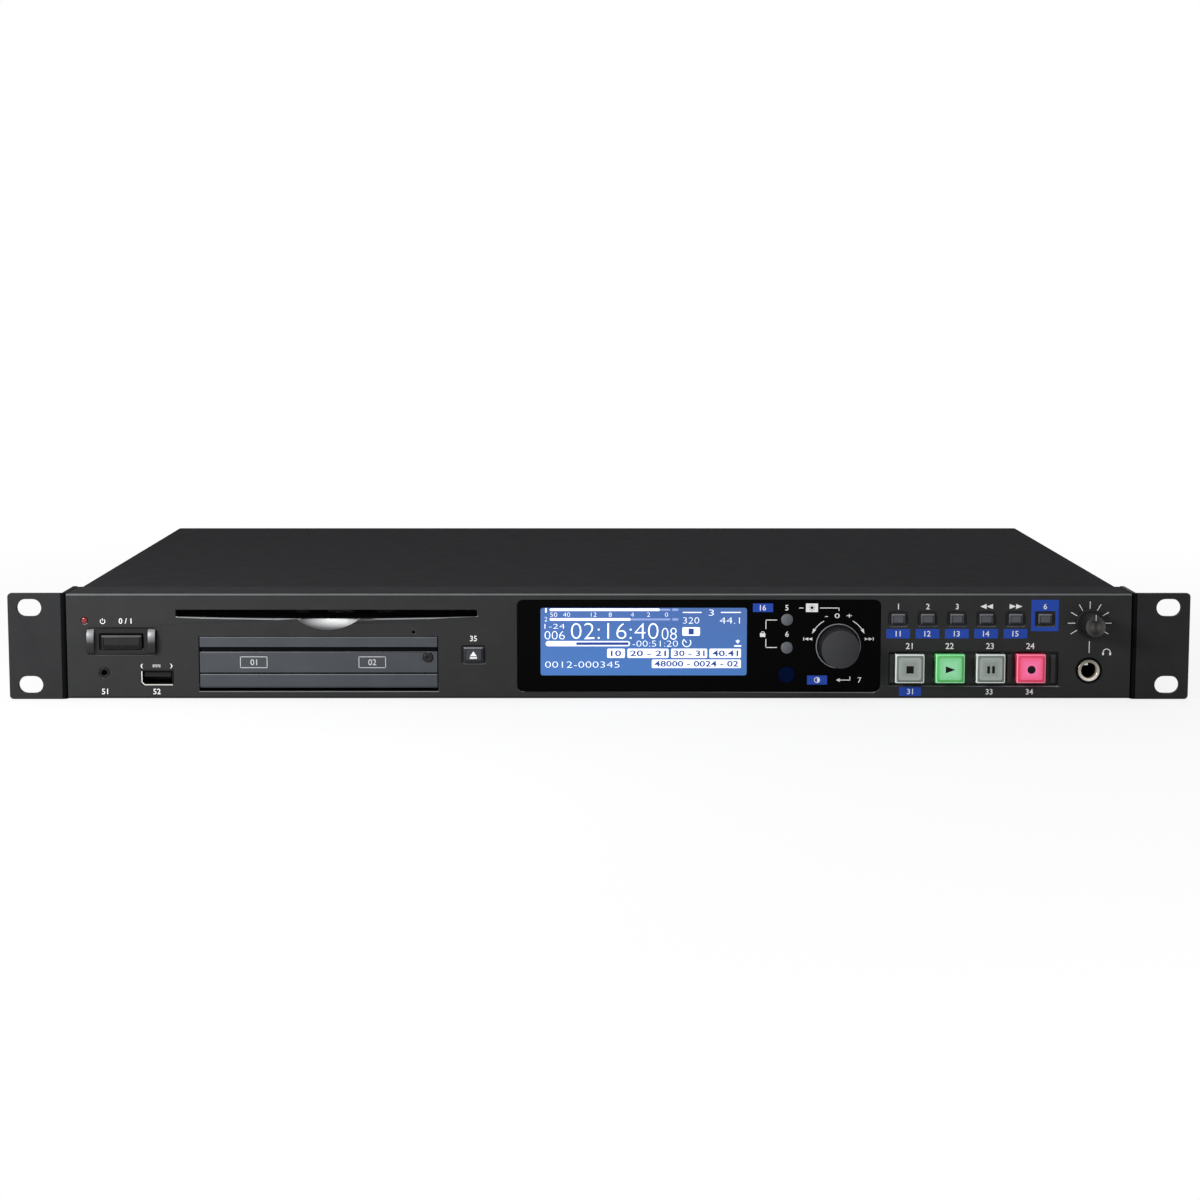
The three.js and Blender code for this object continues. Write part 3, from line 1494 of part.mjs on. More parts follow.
function networkJack() {
  const face = panelOuter + closeGap;
  const mouth = networkZ;
  return cutBy(
    block(networkX - networkWidth / 2, networkX + networkWidth / 2, face - networkDepth, face, mainTop,
      mainTop + networkHeight),
    plate(networkX, mouth, networkMouthWidth, networkMouthHeight, face - networkMouthDepth, face + overrun),
    block(networkX - networkLatchWidth / 2, networkX + networkLatchWidth / 2, face - networkMouthDepth,
      face + overrun, mouth - networkMouthHeight / 2 - networkLatchHeight, mouth),
  );
}

// Mains inlet: a flange, a shrouded cavity with two cut corners and three flat pins
function mainsInlet() {
  const face = panelOuter + inletFlangeThickness;
  const half = inletCavityWidth / 2;
  const up = inletCavityHeight / 2;
  const end = face - inletCavityDepth;
  const cavity = outline([
    [inletX - half, connectorZ - up],
    [inletX + half, connectorZ - up],
    [inletX + half, connectorZ + up - inletCavityCut],
    [inletX + half - inletCavityCut, connectorZ + up],
    [inletX - half + inletCavityCut, connectorZ + up],
    [inletX - half, connectorZ + up - inletCavityCut],
  ]);
  const flange = roundedOutline(inletX - inletFlangeWidth / 2, inletX + inletFlangeWidth / 2,
    connectorZ - inletFlangeHeight / 2, connectorZ + inletFlangeHeight / 2, inletFlangeCorner);
  const pin = (x, z) => plate(x, z, inletPinWidth, inletPinHeight, end - overrun, end + inletPinLength);
  return joined(
    joined(
      frontPrism(flange, panelOuter, face),
      plate(inletX, connectorZ, inletBodyWidth, inletBodyHeight, panelInner - inletBodyDepth,
        panelOuter + overrun),
    ).subtract(frontPrism(cavity, end, face + overrun)),
    pin(inletX, connectorZ + inletEarthRise),
    pin(inletX - inletPinSpacing, connectorZ - inletPinDrop),
    pin(inletX + inletPinSpacing, connectorZ - inletPinDrop),
  );
}

// Circuit board with blocks and upright cans on it
function populated(x0, x1, y0, y1, blocks, cans) {
  const acrossTo = (share) => x0 + share * (x1 - x0);
  const alongTo = (share) => y0 + share * (y1 - y0);
  const seat = mainTop - boardThickness / 2;
  const board = block(x0, x1, y0, y1, mainBottom, mainTop);
  const chips = blocks.map(([placeShares, width, length, height]) => {
    const x = acrossTo(placeShares[0]);
    const y = alongTo(placeShares[1]);
    return block(x - width / 2, x + width / 2, y - length / 2, y + length / 2, seat, mainTop + height);
  });
  const upright = cans.map(([placeShares, radius, height]) => rodZ(radius, seat, mainTop + height,
    acrossTo(placeShares[0]), alongTo(placeShares[1]), smallSides));
  return joined(board, ...chips, ...upright);
}

function mainBoard() {
  return populated(mainLeft, mainRight, mainFront, mainBack, [
    [processorShares, chipSize, chipSize, chipHeight],
    [memoryShares, memoryWidth, memoryLength, chipHeight],
    ...converterShares.map((shares) => [shares, converterSize, converterSize, chipHeight]),
    [mainHeaderShares, headerLength, headerWidth, headerHeight],
    [sideHeaderShares, headerWidth, headerLength, headerHeight],
  ], smallCanShares.map((shares) => [shares, smallCanRadius, smallCanHeight]));
}

// Supply with its transformer, its heat sink with upright fins, and its smoothing capacitors
function powerSupplyBoard() {
  const board = populated(supplyLeft, supplyRight, supplyFront, supplyBack, [
    [coreShares, coreWidth, coreLength, coreHeight],
    [coreShares, coreWidth * bobbinWidthShare, coreLength + bobbinOverhang, coreHeight * bobbinHeightShare],
    [filterShares, filterWidth, filterLength, filterHeight],
    [supplyHeaderShares, headerLength, headerWidth, headerHeight],
  ], [
    [largeCanShares, largeCanRadius, largeCanHeight],
    ...middleCanShares.map((shares) => [shares, middleCanRadius, middleCanHeight]),
  ]);
  const y = supplyFront + sinkFromFront;
  const x = supplyRight - sinkInset;
  const root = block(x - sinkRoot, x, y, y + sinkLength, mainTop - boardThickness / 2, mainTop + sinkHeight);
  const fins = [];
  for (let place = 0; place < finCount; place += 1) {
    const finY = y + place * (sinkLength - sinkRoot) / (finCount - 1);
    fins.push(block(x - sinkRoot - finReach, x - sinkRoot / 2, finY, finY + sinkRoot,
      mainTop - boardThickness / 2, mainTop + sinkHeight));
  }
  return joined(board, root, ...fins);
}

// Mouth that the disc goes through, in the front of the drive
function driveMouth() {
  return block(slotX - mouthWidth / 2, slotX + mouthWidth / 2, driveFront - overrun,
    driveFront + driveWall + overrun, discZ - mouthBelow, discZ + mouthAbove);
}

function driveCase() {
  const railX = slotX - railOffset;
  const screwX0 = slotX + railOffset;
  const supportTop = railZ + railRadius + driveWall;
  const support = (x, y0, y1) => block(x - carrierWidth / 2, x + carrierWidth / 2, y0, y1,
    driveFloor - driveWall / 2, supportTop);
  const stepperBottom = driveFloor - driveWall / 2;
  const rollerZ = discZ - rollerRadius;
  const pan = block(driveLeft, driveRight, driveFront, driveBack, driveBottom, driveSplit).subtract(
    block(driveLeft + driveWall, driveRight - driveWall, driveFront + driveWall, driveBack - driveWall,
      driveFloor, driveSplit + overrun),
  );
  return cutBy(
    joined(
      pan,
      support(railX, carrierFront, carrierBack),
      rodY(railRadius, carrierFront + carrierThickness / 2, driveBack - driveWall / 2, railX, railZ,
        smallSides),
      block(screwX0 - stepperWidth / 2, screwX0 + stepperWidth / 2, carrierBack - stepperLength, carrierBack,
        stepperBottom, driveFloor + stepperHeight),
      support(screwX0, driveBack - driveWall - carrierThickness, driveBack - driveWall / 2),
    ),
    driveMouth(),
    rodY(screwRadius + closeGap, carrierBack - stepperLength / 2, driveBack - driveWall, screwX0, railZ,
      smallSides),
    rodX(rollerShaftRadius + closeGap, driveLeft - overrun, driveRight + overrun,
      driveFront + rollerFromFront, rollerZ, smallSides),
  );
}

function driveCover() {
  return cutBy(
    block(driveLeft, driveRight, driveFront, driveBack, driveSplit, driveTop),
    block(driveLeft + driveWall, driveRight - driveWall, driveFront + driveWall, driveBack - driveWall,
      driveSplit - overrun, driveTop - driveWall),
    driveMouth(),
    rodZ(clampHoleRadius, driveTop - driveWall - overrun, driveTop + overrun, slotX, spindleY, hiddenSides),
  );
}

// Rubber roller, thinner in the middle so that it holds the disc by its edges
function loadingRoller() {
  const left = driveLeft + driveWall + rollerEndGap;
  const right = driveRight - driveWall - rollerEndGap;
  return turnedAcross([
    [0, driveLeft + closeGap],
    [rollerShaftRadius, driveLeft + closeGap],
    [rollerShaftRadius, left],
    [rollerRadius, left],
    [rollerWaist, slotX],
    [rollerRadius, right],
    [rollerShaftRadius, right],
    [rollerShaftRadius, driveRight - closeGap],
    [0, driveRight - closeGap],
  ], driveFront + rollerFromFront, discZ - rollerRadius, hiddenSides);
}

function spindleMotor() {
  return rodZ(motorRadius, driveFloor, motorTop, slotX, spindleY, hiddenSides).subtract(
    rodZ(spindleShaftRadius + closeGap, spindleFoot - closeGap, motorTop + overrun, slotX, spindleY,
      smallSides),
  );
}

function spindleTurntable() {
  const tableTop = tableBottom + turntableHeight;
  return turnedUp([
    [0, spindleFoot],
    [spindleShaftRadius, spindleFoot],
    [spindleShaftRadius, tableBottom],
    [turntableRadius, tableBottom],
    [turntableRadius, tableTop],
    [hubRadius, tableTop],
    [hubRadius, tableTop + hubHeight / 2],
    [hubRadius - hubHeight / 2, tableTop + hubHeight],
    [0, tableTop + hubHeight],
  ], slotX, spindleY, hiddenSides);
}

// Optical pickup on its rail and lead screw, with a waist in its plan and a lens on top
function pickupSled() {
  const middle = spindleY + lensStart;
  const y0 = middle - sledLength / 2;
  const y1 = middle + sledLength / 2;
  const half = railOffset + sledBoss;
  const z0 = railZ - sledThickness / 2;
  const z1 = railZ + sledThickness / 2;
  const bossInner = railOffset - sledBoss;
  const waist = (side) => {
    const edge = middle + side * sledLength / 2;
    const y = edge - side * sledWaist / 2;
    return block(slotX - bossInner, slotX - lensRadius - sledWaist, y - sledWaist / 2, y + sledWaist / 2,
      z0 - overrun, z1 + overrun).add(block(slotX + lensRadius + sledWaist, slotX + bossInner,
      y - sledWaist / 2, y + sledWaist / 2, z0 - overrun, z1 + overrun));
  };
  return cutBy(
    block(slotX - half, slotX + half, y0, y1, z0, z1),
    waist(-1),
    waist(1),
    rodY(railRadius + fitGap, y0 - overrun, y1 + overrun, slotX - railOffset, railZ, smallSides),
    rodY(screwRadius + fitGap, y0 - overrun, y1 + overrun, slotX + railOffset, railZ, smallSides),
  ).add(rodZ(lensRadius, railZ, z1 + lensHeight, slotX, middle, smallSides));
}

function leadScrew() {
  return rodY(screwRadius, carrierBack - stepperLength / 2 + closeGap, driveBack - driveWall - closeGap,
    slotX + railOffset, railZ, smallSides);
}

addPart('front_bezel', frontBezel(), panelPlastic);
addPart('rack_ear_left', rackEar(-1), blackSteel);
addPart('rack_ear_right', rackEar(1), blackSteel);
addPart('top_cover', topCover(), blackSteel);
addPart('bottom_chassis', bottomChassis(), bareSteel);
addPart('rear_panel', rearPanel(), blackSteel);
addPart('display_window', displayWindow(), glossBlack);
addPart('lcd_module', lcdModule(), displayBlue);
addPart('home_button', roundButton(windowKeysX, homeZ), keyPlastic);
addPart('media_button', roundButton(windowKeysX, mediaZ), keyPlastic);
addPart('ir_lens', irLens(), deepBlue);
addPart('jog_ring', jogRing(), darkPlastic);
addPart('jog_knob', jogKnob(), darkPlastic);
addPart('jog_rotor', jogRotor(), brightMetal);
addPart('jog_encoder', jogEncoder(), darkPlastic);
addPart('power_button_guard', powerButtonGuard(), darkPlastic);
addPart('power_button', powerButton(), keyPlastic);
addPart('standby_lamp', standbyLamp(), lampRed);
addPart('remote_jack', remoteJack(), darkPlastic);
addPart('usb_port', usbPort(), brightMetal);
addPart('input_board', inputBoard(), boardGreen);
addPart('front_board', frontBoard(), boardGreen);
addPart('eject_button', squareButton(ejectX, ejectZ, ejectWidth, ejectHeight, 2 * keyBevel, keyBevel,
  ejectProud, keyTravel), keyPlastic);
keyNames.forEach((name, place) => {
  addPart(`${name}_button`, squareButton(keyX[place], keyZ, keyWidth, keyHeight, 2 * keyBevel, keyBevel,
    keyProud, keyTravel), keyPlastic);
});
addPart('transport_tray', transportTray(), darkPlastic);
const largeCaps = [clearCap, greenCap, clearCap, redCap];
largeNames.forEach((name, place) => {
  addPart(`${name}_button`, largeButton(largeX[place]), largeCaps[place]);
});
addPart('sd_door', sdDoor(), doorPlastic);
addPart('security_screw', securityScrew(), blackSteel);
addPart('sd_bay_frame', sdBayFrame(), darkPlastic);
addPart('card_socket_left', cardSocket(bayX - socketShift), bareSteel);
addPart('card_socket_right', cardSocket(bayX + socketShift), bareSteel);
addPart('phones_knob', phonesKnob(), darkPlastic);
addPart('phones_pot', phonesPot(), bareSteel);
addPart('phones_jack', phonesJack(), brightMetal);
addPart('main_board', mainBoard(), boardGreen);
addPart('power_supply_board', powerSupplyBoard(), boardGreen);
addPart('disc_drive_case', driveCase(), bareSteel);
addPart('disc_drive_cover', driveCover(), bareSteel);
addPart('loading_roller', loadingRoller(), rubberBlack);
addPart('spindle_motor', spindleMotor(), bareSteel);
addPart('spindle_turntable', spindleTurntable(), darkPlastic);
addPart('pickup_sled', pickupSled(), darkPlastic);
addPart('lead_screw', leadScrew(), brightMetal);
addPart('mains_inlet', mainsInlet(), darkPlastic);
addPart('xlr_input_left', xlrConnector(xlrX[0], false), darkPlastic);
addPart('xlr_input_right', xlrConnector(xlrX[1], false), darkPlastic);
addPart('xlr_output_left', xlrConnector(xlrX[2], true), darkPlastic);
addPart('xlr_output_right', xlrConnector(xlrX[3], true), darkPlastic);
addPart('rca_block', rcaBlock(), brightMetal);
addPart('control_connector', controlConnector(), brightMetal);
addPart('network_jack', networkJack(), bareSteel);

export default recorder;
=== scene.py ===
# A rack audio recorder, one unit high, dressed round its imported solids. Metres, Z up.

import json
from math import atan2, cos, hypot, pi, radians, sin

import bpy
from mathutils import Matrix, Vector


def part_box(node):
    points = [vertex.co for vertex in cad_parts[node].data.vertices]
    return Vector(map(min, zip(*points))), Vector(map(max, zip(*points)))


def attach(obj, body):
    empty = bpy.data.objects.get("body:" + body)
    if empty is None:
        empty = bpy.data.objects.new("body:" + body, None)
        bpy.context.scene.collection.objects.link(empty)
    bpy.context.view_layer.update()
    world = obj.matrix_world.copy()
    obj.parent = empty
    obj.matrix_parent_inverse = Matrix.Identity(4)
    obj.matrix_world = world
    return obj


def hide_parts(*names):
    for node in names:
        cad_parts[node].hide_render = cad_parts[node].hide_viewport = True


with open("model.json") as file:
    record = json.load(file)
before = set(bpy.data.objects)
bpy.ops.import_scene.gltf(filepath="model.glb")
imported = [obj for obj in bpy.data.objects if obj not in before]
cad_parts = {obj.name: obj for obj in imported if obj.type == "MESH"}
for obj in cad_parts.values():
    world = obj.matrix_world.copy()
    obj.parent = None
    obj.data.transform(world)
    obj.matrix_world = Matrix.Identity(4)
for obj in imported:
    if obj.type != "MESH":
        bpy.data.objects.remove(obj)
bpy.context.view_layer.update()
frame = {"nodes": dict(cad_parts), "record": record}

MM = 0.001

# Camera, fitted to the panel's corners and slots
CAMERA_PLACE = (-3.105 * MM, -1179.04 * MM, 170.33 * MM)
CAMERA_TILT = radians(82.901)
CAMERA_LENS = 77.03
CAMERA_SHIFT = 0.00728
SENSOR_WIDTH = 36
NEAREST = 0.01
FARTHEST = 100

# Floor and sky
FLOOR_SIZE = 40
FLOOR_WHITE_NEAR = 0.8
FLOOR_FADE = (0.26, 0.6)
SKY_STRENGTH = 0.35

# Ink and small steps
INK_DEPTH = 0.03 * MM
INK_SUNK = 0.01 * MM
MERGE_DISTANCE = 0.002 * MM
EDGE_ANGLE = radians(28)
SMOOTH_ANGLE = radians(40)
ROUNDING_ANGLE = radians(21)
SQUARE_ON = 0.9995
FRONT_TURN = (pi / 2, 0, 0)
SHEEN_FAN_TURN = 2 * pi


def centre(node):
    """Middle of a CAD node's box."""
    low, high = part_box(node)
    return (low + high) / 2


def front(node):
    """Depth of a CAD node's foremost point."""
    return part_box(node)[0].y


# Corners and planes that the pieces below share
PANEL_LOW, PANEL_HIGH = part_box("front_bezel")
COVER_LOW, COVER_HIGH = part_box("top_cover")
PANEL_FRONT = PANEL_LOW.y
CASE_BACK = COVER_HIGH.y


# Materials. Sizes of patterns are in millimetres

CLOUD_SIZE = 9
CLOUD_DETAIL = 2.0
GRAIN_DETAIL = 3.0
ROLLED_SIZE = 0.6
ROLLED_DETAIL = 4.0
RINGS_IN_A_UNIT = 20
CAP_FACE_REACH = 2.2 * MM
CAP_RIM_REACH = 5.6 * MM


def linear(written):
    """A written screen colour as the linear colour that a shader takes."""
    shares = [int(written[place:place + 2], 16) / 255 for place in (1, 3, 5)]
    return [share / 12.92 if share <= 0.04045 else ((share + 0.055) / 1.055) ** 2.4 for share in shares]


def toned(written, share):
    """A written colour made darker or lighter by a share."""
    return [channel * share for channel in linear(written)]


def fill(tree, node, inputs):
    """Links or writes each value to the input that it is for."""
    for socket, value in inputs.items():
        if isinstance(value, bpy.types.NodeSocket):
            tree.links.new(value, node.inputs[socket])
        else:
            node.inputs[socket].default_value = value


def add(tree, kind, inputs, **settings):
    """Adds a node, fills its inputs and gives back its outputs."""
    node = tree.nodes.new("ShaderNode" + kind)
    for setting, value in settings.items():
        setattr(node, setting, value)
    fill(tree, node, inputs)
    return node.outputs


def new_material(name):
    """A material with its node tree and the object's own coordinates."""
    material = bpy.data.materials.new(name)
    material.use_nodes = True
    return material, material.node_tree, add(material.node_tree, "TexCoord", {})["Object"]


def surface(material, inputs, height=None, depth=0.0):
    """Fills the material's shader. A height adds a bump this many millimetres deep."""
    tree = material.node_tree
    shader = tree.nodes["Principled BSDF"]
    fill(tree, shader, inputs)
    if height is not None:
        bump = add(tree, "Bump", {"Distance": depth * MM, "Height": height})["Normal"]
        fill(tree, shader, {"Normal": bump})
    return material


def noise(tree, place, size, detail=CLOUD_DETAIL):
    """Fine random pattern whose grains are about this size in millimetres."""
    return add(tree, "TexNoise", {"Scale": 1 / (size * MM), "Detail": detail, "Vector": place})["Fac"]


def ranged(tree, value, low, high, from_low=0.3, from_high=0.7):
    """A value spread between two ends."""
    ends = {"From Min": from_low, "From Max": from_high, "To Min": low, "To Max": high, "Value": value}
    return add(tree, "MapRange", ends)["Result"]


def mixed(tree, share, first, second):
    """Two colours mixed by a share."""
    inputs = {"A": (*first, 1), "B": (*second, 1), "Factor": share}
    return add(tree, "Mix", inputs, data_type="RGBA")["Result"]


def maths(tree, operation, *values):
    """One step of arithmetic on node values."""
    return add(tree, "Math", dict(enumerate(values)), operation=operation)["Value"]


def centred(tree, place, node):
    """Coordinates from a CAD node's middle on the panel."""
    middle = centre(node)
    return add(tree, "Mapping", {"Location": (-middle.x, 0, -middle.z), "Vector": place})["Vector"]


def finish(name, written, roughness, level, grain=0.25, depth=0.002, uneven=0.06, metallic=0.0, coat=0.0):
    """A moulded, painted or plated surface: a fine grain, slightly uneven in colour and gloss."""
    material, tree, place = new_material(name)
    cloudy = ranged(tree, noise(tree, place, CLOUD_SIZE), 0, 1)
    fine = noise(tree, place, grain, GRAIN_DETAIL)
    return surface(material, {
        "Base Color": mixed(tree, cloudy, toned(written, 1 - uneven), toned(written, 1 + uneven)),
        "Roughness": ranged(tree, fine, roughness * 0.9, min(1, roughness * 1.1)),
        "Metallic": metallic, "Specular IOR Level": level, "Coat Weight": coat, "Coat Roughness": 0.05,
    }, fine, depth)


def brushed(name, written, roughness, scale=(1, 1, 1)):
    """Sheet metal with faint rolling marks, drawn out where the scale is small."""
    material, tree, place = new_material(name)
    drawn = add(tree, "Mapping", {"Scale": scale, "Vector": place})["Vector"]
    rolled = noise(tree, drawn, ROLLED_SIZE, ROLLED_DETAIL)
    return surface(material, {
        "Base Color": mixed(tree, ranged(tree, rolled, 0, 1), toned(written, 0.9), toned(written, 1.08)),
        "Roughness": ranged(tree, rolled, roughness * 0.8, roughness * 1.25),
        "Metallic": 1.0,
    }, rolled, 0.004)


def lit_cap(name, node, edge, middle, glow):
    """Translucent cap that is lit from behind, paler or deeper towards its bevelled edges."""
    material, tree, place = new_material(name)
    axes = add(tree, "SeparateXYZ", {"Vector": centred(tree, place, node)})
    outward = maths(tree, "MAXIMUM", maths(tree, "ABSOLUTE", axes["X"]), maths(tree, "ABSOLUTE", axes["Z"]))
    towards_rim = ranged(tree, outward, 0, 1, CAP_FACE_REACH, CAP_RIM_REACH)
    tint = mixed(tree, towards_rim, linear(middle), linear(edge))
    fine = noise(tree, place, 0.8)
    return surface(material, {
        "Base Color": tint, "Emission Color": tint, "Emission Strength": glow,
        "Roughness": ranged(tree, fine, 0.2, 0.3), "Coat Weight": 0.6, "Coat Roughness": 0.08,
    }, fine, 0.003)


def spun(name, written, roughness, node, pitch, contrast, depth, level=0.5, metallic=0.0, painted_sheen_fans=0.0):
    """Face with fine rings round a node's middle, this far apart and deep in millimetres, and pale fans of
    painted sheen.
    """
    material, tree, place = new_material(name)
    around = centred(tree, place, node)
    scale = 1 / (pitch * MM * RINGS_IN_A_UNIT)
    rings = add(tree, "TexWave", {"Scale": scale, "Distortion": 0.4, "Vector": around},
                wave_type="RINGS", rings_direction="Y")["Fac"]
    share = rings
    # Painted sheen: pale fans that change with the angle round the middle
    if painted_sheen_fans > 0:
        axes = add(tree, "SeparateXYZ", {"Vector": around})
        angle = maths(tree, "ARCTAN2", axes["Z"], axes["X"])
        double = ranged(tree, angle, -SHEEN_FAN_TURN, SHEEN_FAN_TURN, -pi, pi)
        share = maths(tree, "ADD", ranged(tree, rings, 0, 1 - painted_sheen_fans, 0, 1),
                      ranged(tree, maths(tree, "COSINE", double), 0, painted_sheen_fans, -1, 1))
    return surface(material, {
        "Base Color": mixed(tree, share, toned(written, 1 - contrast), toned(written, 1 + contrast)),
        "Roughness": ranged(tree, rings, roughness * 0.9, roughness * 1.1, 0, 1),
        "Metallic": metallic, "Specular IOR Level": level,
    }, rings, depth)


def glowing(name, written, glow):
    """Lit graphics of the display."""
    material, tree, place = new_material(name)
    tint = mixed(tree, noise(tree, place, 2), toned(written, 0.97), linear(written))
    return surface(material, {
        "Base Color": tint, "Emission Color": tint, "Emission Strength": glow, "Specular IOR Level": 0.0,
    })


def display_light(name):
    """Backlit display: blue, a little brighter towards the bottom and faintly uneven, with a fine grain in
    its gloss.
    """
    material, tree, place = new_material(name)
    low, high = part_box("lcd_module")
    fall = ranged(tree, add(tree, "SeparateXYZ", {"Vector": place})["Z"], 1, 0, low.z, high.z)
    share = maths(tree, "MULTIPLY", fall, ranged(tree, noise(tree, place, 30), 0.6, 1.0))
    tint = mixed(tree, share, linear("#4d6ba6"), linear("#4778b9"))
    return surface(material, {
        "Base Color": tint, "Emission Color": tint, "Emission Strength": 0.23, "Specular IOR Level": 0.1,
        "Roughness": ranged(tree, noise(tree, place, 0.3), 0.35, 0.5),
    })


def painted_highlight_dish(name, bright, dim, roughness, middle, reach, metallic=0.2):
    """Satin metal with a painted highlight: brightest at a middle and dimmer towards an oval, both in
    millimetres.
    """
    material, tree, place = new_material(name)
    shift = {0: place, 1: (middle[0] * MM, 0, middle[1] * MM)}
    squeeze = {0: add(tree, "VectorMath", shift, operation="SUBTRACT")["Vector"],
               1: (1 / (reach[0] * MM), 0, 1 / (reach[1] * MM))}
    oval = add(tree, "VectorMath", squeeze, operation="MULTIPLY")["Vector"]
    away = add(tree, "VectorMath", {0: oval}, operation="LENGTH")["Value"]
    fine = noise(tree, place, 0.15)
    return surface(material, {
        "Base Color": mixed(tree, ranged(tree, away, 0, 1, 0.1, 1), linear(bright), linear(dim)),
        "Roughness": ranged(tree, fine, roughness * 0.9, roughness * 1.1),
        "Metallic": metallic,
    }, fine, 0.004)


PANEL = finish("panel_plastic", "#2f2f2f", 0.55, 0.1, grain=0.2, depth=0.012)
# Painted shade: the panel plastic again for the bezel's roof, without sheen, so that the roof reads as dark
# as the front
PANEL_ROOF_PAINTED_SHADE = finish("panel_roof_painted_shade", "#353536", 0.7, 0, grain=0.2, depth=0.012)
# Painted highlights: paler plastic on edges and lips that face up and forward
PANEL_EDGE_PAINTED_HIGHLIGHT = finish("edge_painted_highlight", "#585a5c", 0.35, 0.4)
BAY_EDGE_PAINTED_HIGHLIGHT = finish("bay_edge_painted_highlight", "#85868a", 0.4, 0.3)
SLOT_LIP_PAINTED_HIGHLIGHT = finish("slot_lip_painted_highlight", "#8a8b8e", 0.35, 0.4)
# Painted shade: near black for slot walls, door grooves, bends, edges that face down, the drive's front and
# the ring round the jack
PAINTED_SHADE_BLACK = finish("painted_shade_black", "#0e0f11", 0.7, 0.02, depth=0.01)
PAINT = finish("black_paint", "#2f2f30", 0.8, 0, grain=0.35, depth=0.02)
EAR_PAINT = finish("ear_paint", "#2b2b2c", 0.7, 0.1, grain=0.35, depth=0.02)
DARK = finish("dark_plastic", "#17171a", 0.4, 0.2, grain=0.3, depth=0.01)
TRAY = finish("tray_plastic", "#424443", 0.5, 0.1, grain=0.3, depth=0.01)
GLOSS_DARK = finish("gloss_dark_plastic", "#161617", 0.3, 0.25)
KNOB_SIDE = finish("knob_side_rubber", "#151517", 0.5, 0.2, grain=0.15, depth=0.006)
KEY = finish("key_plastic", "#53555a", 0.4, 0.2, grain=0.2, depth=0.006)
# Painted highlight on the keys' upper edges and painted shade on their lower edges; the darker one is also
# the eject key's rim and stem
KEY_PAINTED_HIGHLIGHT = finish("key_painted_highlight", "#6d6f74", 0.4, 0.3, depth=0.003)
KEY_DARK_AND_PAINTED_SHADE = finish("key_dark_and_painted_shade", "#2c2e33", 0.4, 0.2, depth=0.003)
DOOR = finish("door_plastic", "#43464b", 0.5, 0.2, grain=0.2, depth=0.01)
WINDOW = finish("window_pane", "#030303", 0.06, 0.03, depth=0, uneven=0)
SCREW = finish("black_zinc", "#19191b", 0.4, 0.4, depth=0.004, metallic=0.3)
GREY_STEEL = brushed("plated_steel", "#a4a6a8", 0.35, (1, 30, 30))
CHROME = brushed("nickel", "#cfcac0", 0.2)
GOLD = brushed("gilt_contact", "#d9b45c", 0.25)
# Painted highlight on the silver scoop, brightest just under the slot and darker towards its rim
SCOOP_PAINTED_HIGHLIGHT = painted_highlight_dish("scoop_silver_painted_highlight", "#dedede", "#4e4e50", 0.4, (-109.6, 32.6), (11.5, 3.3))
# Painted highlight on the guard's ribs, bright at the top and dark lower down
RIB_PAINTED_HIGHLIGHT = painted_highlight_dish("rib_painted_highlight", "#8c8c8e", "#101012", 0.4, (-194.96, 27.6), (60, 4.4))
USB_DARK = finish("usb_inside", "#131416", 0.4, 0.2)
# Painted highlight on the jack's nickel nose, brightest below and to the right of its middle
JACK_NICKEL_PAINTED_HIGHLIGHT = painted_highlight_dish("jack_nickel_painted_highlight", "#fff6e6", "#7d776c", 0.25, (201.2, 8.1), (8.4, 8.4), 0.5)
JACK_WALL = finish("jack_wall", "#b4ad9f", 0.25, 0.6, metallic=0.1)
SOCKET_RIM = brushed("socket_rim", "#f0ede6", 0.2)
# Painted highlight on the power key's upper edge
POWER_PAINTED_HIGHLIGHT = finish("power_painted_highlight", "#4c4c4e", 0.35, 0.2)
POWER_FACE = finish("power_face", "#272728", 0.35, 0.1)
LENS = finish("infrared_lens", "#041230", 0.2, 0, depth=0, uneven=0.02)
LAMP = finish("lamp_lens", "#761518", 0.2, 0.3, depth=0, uneven=0.05, coat=0.4)
RUBBER = finish("roller_rubber", "#1c1c1c", 0.85, 0.2, depth=0.01)
BOARD = finish("circuit_board", "#1e5c38", 0.45, 0.4, grain=0.6, depth=0.02, uneven=0.15)
WHITE_INK = finish("white_ink", "#f2f2f0", 0.6, 0.1, uneven=0.02)
GREY_INK = finish("grey_ink", "#c4c4c4", 0.6, 0.1, uneven=0.02)
BLACK_INK = finish("black_ink", "#141514", 0.5, 0.1, uneven=0.02)
BLUE_INK = finish("blue_ink", "#2a4cad", 0.55, 0.1, uneven=0.04)
DISPLAY = display_light("display_light")
DISPLAY_WHITE = glowing("display_white", "#eef3ff", 0.6)
DISPLAY_SHADE = glowing("display_shade", "#8d9fd0", 0.3)
DISPLAY_INK = glowing("display_ink", "#38509a", 0.1)
KNOB_FACE = spun("knob_face", "#3f3f41", 0.55, "jog_knob", 0.25, 0.03, 0.003, level=0.05)
PHONES_FACE_PAINTED_SHEEN = spun("phones_face_painted_sheen", "#3e3c3a", 0.35, "phones_knob", 0.4, 0.75, 0.01, metallic=0.6, painted_sheen_fans=0.75)
CLEAR_CAP = lit_cap("clear_cap", "stop_button", "#a4aba4", "#868f88", 0.12)
PAUSE_CAP = lit_cap("pause_cap", "pause_button", "#a4aba4", "#868f88", 0.12)
GREEN_CAP = lit_cap("green_cap", "play_button", "#5fbe70", "#86cf9c", 0.25)
RED_CAP = lit_cap("red_cap", "record_button", "#ec3a64", "#f0649a", 0.3)
CLEAR_RIM = finish("clear_cap_rim", "#757c76", 0.12, 0.6, depth=0)
GREEN_RIM = finish("green_cap_rim", "#5fbf63", 0.15, 0.6, depth=0)
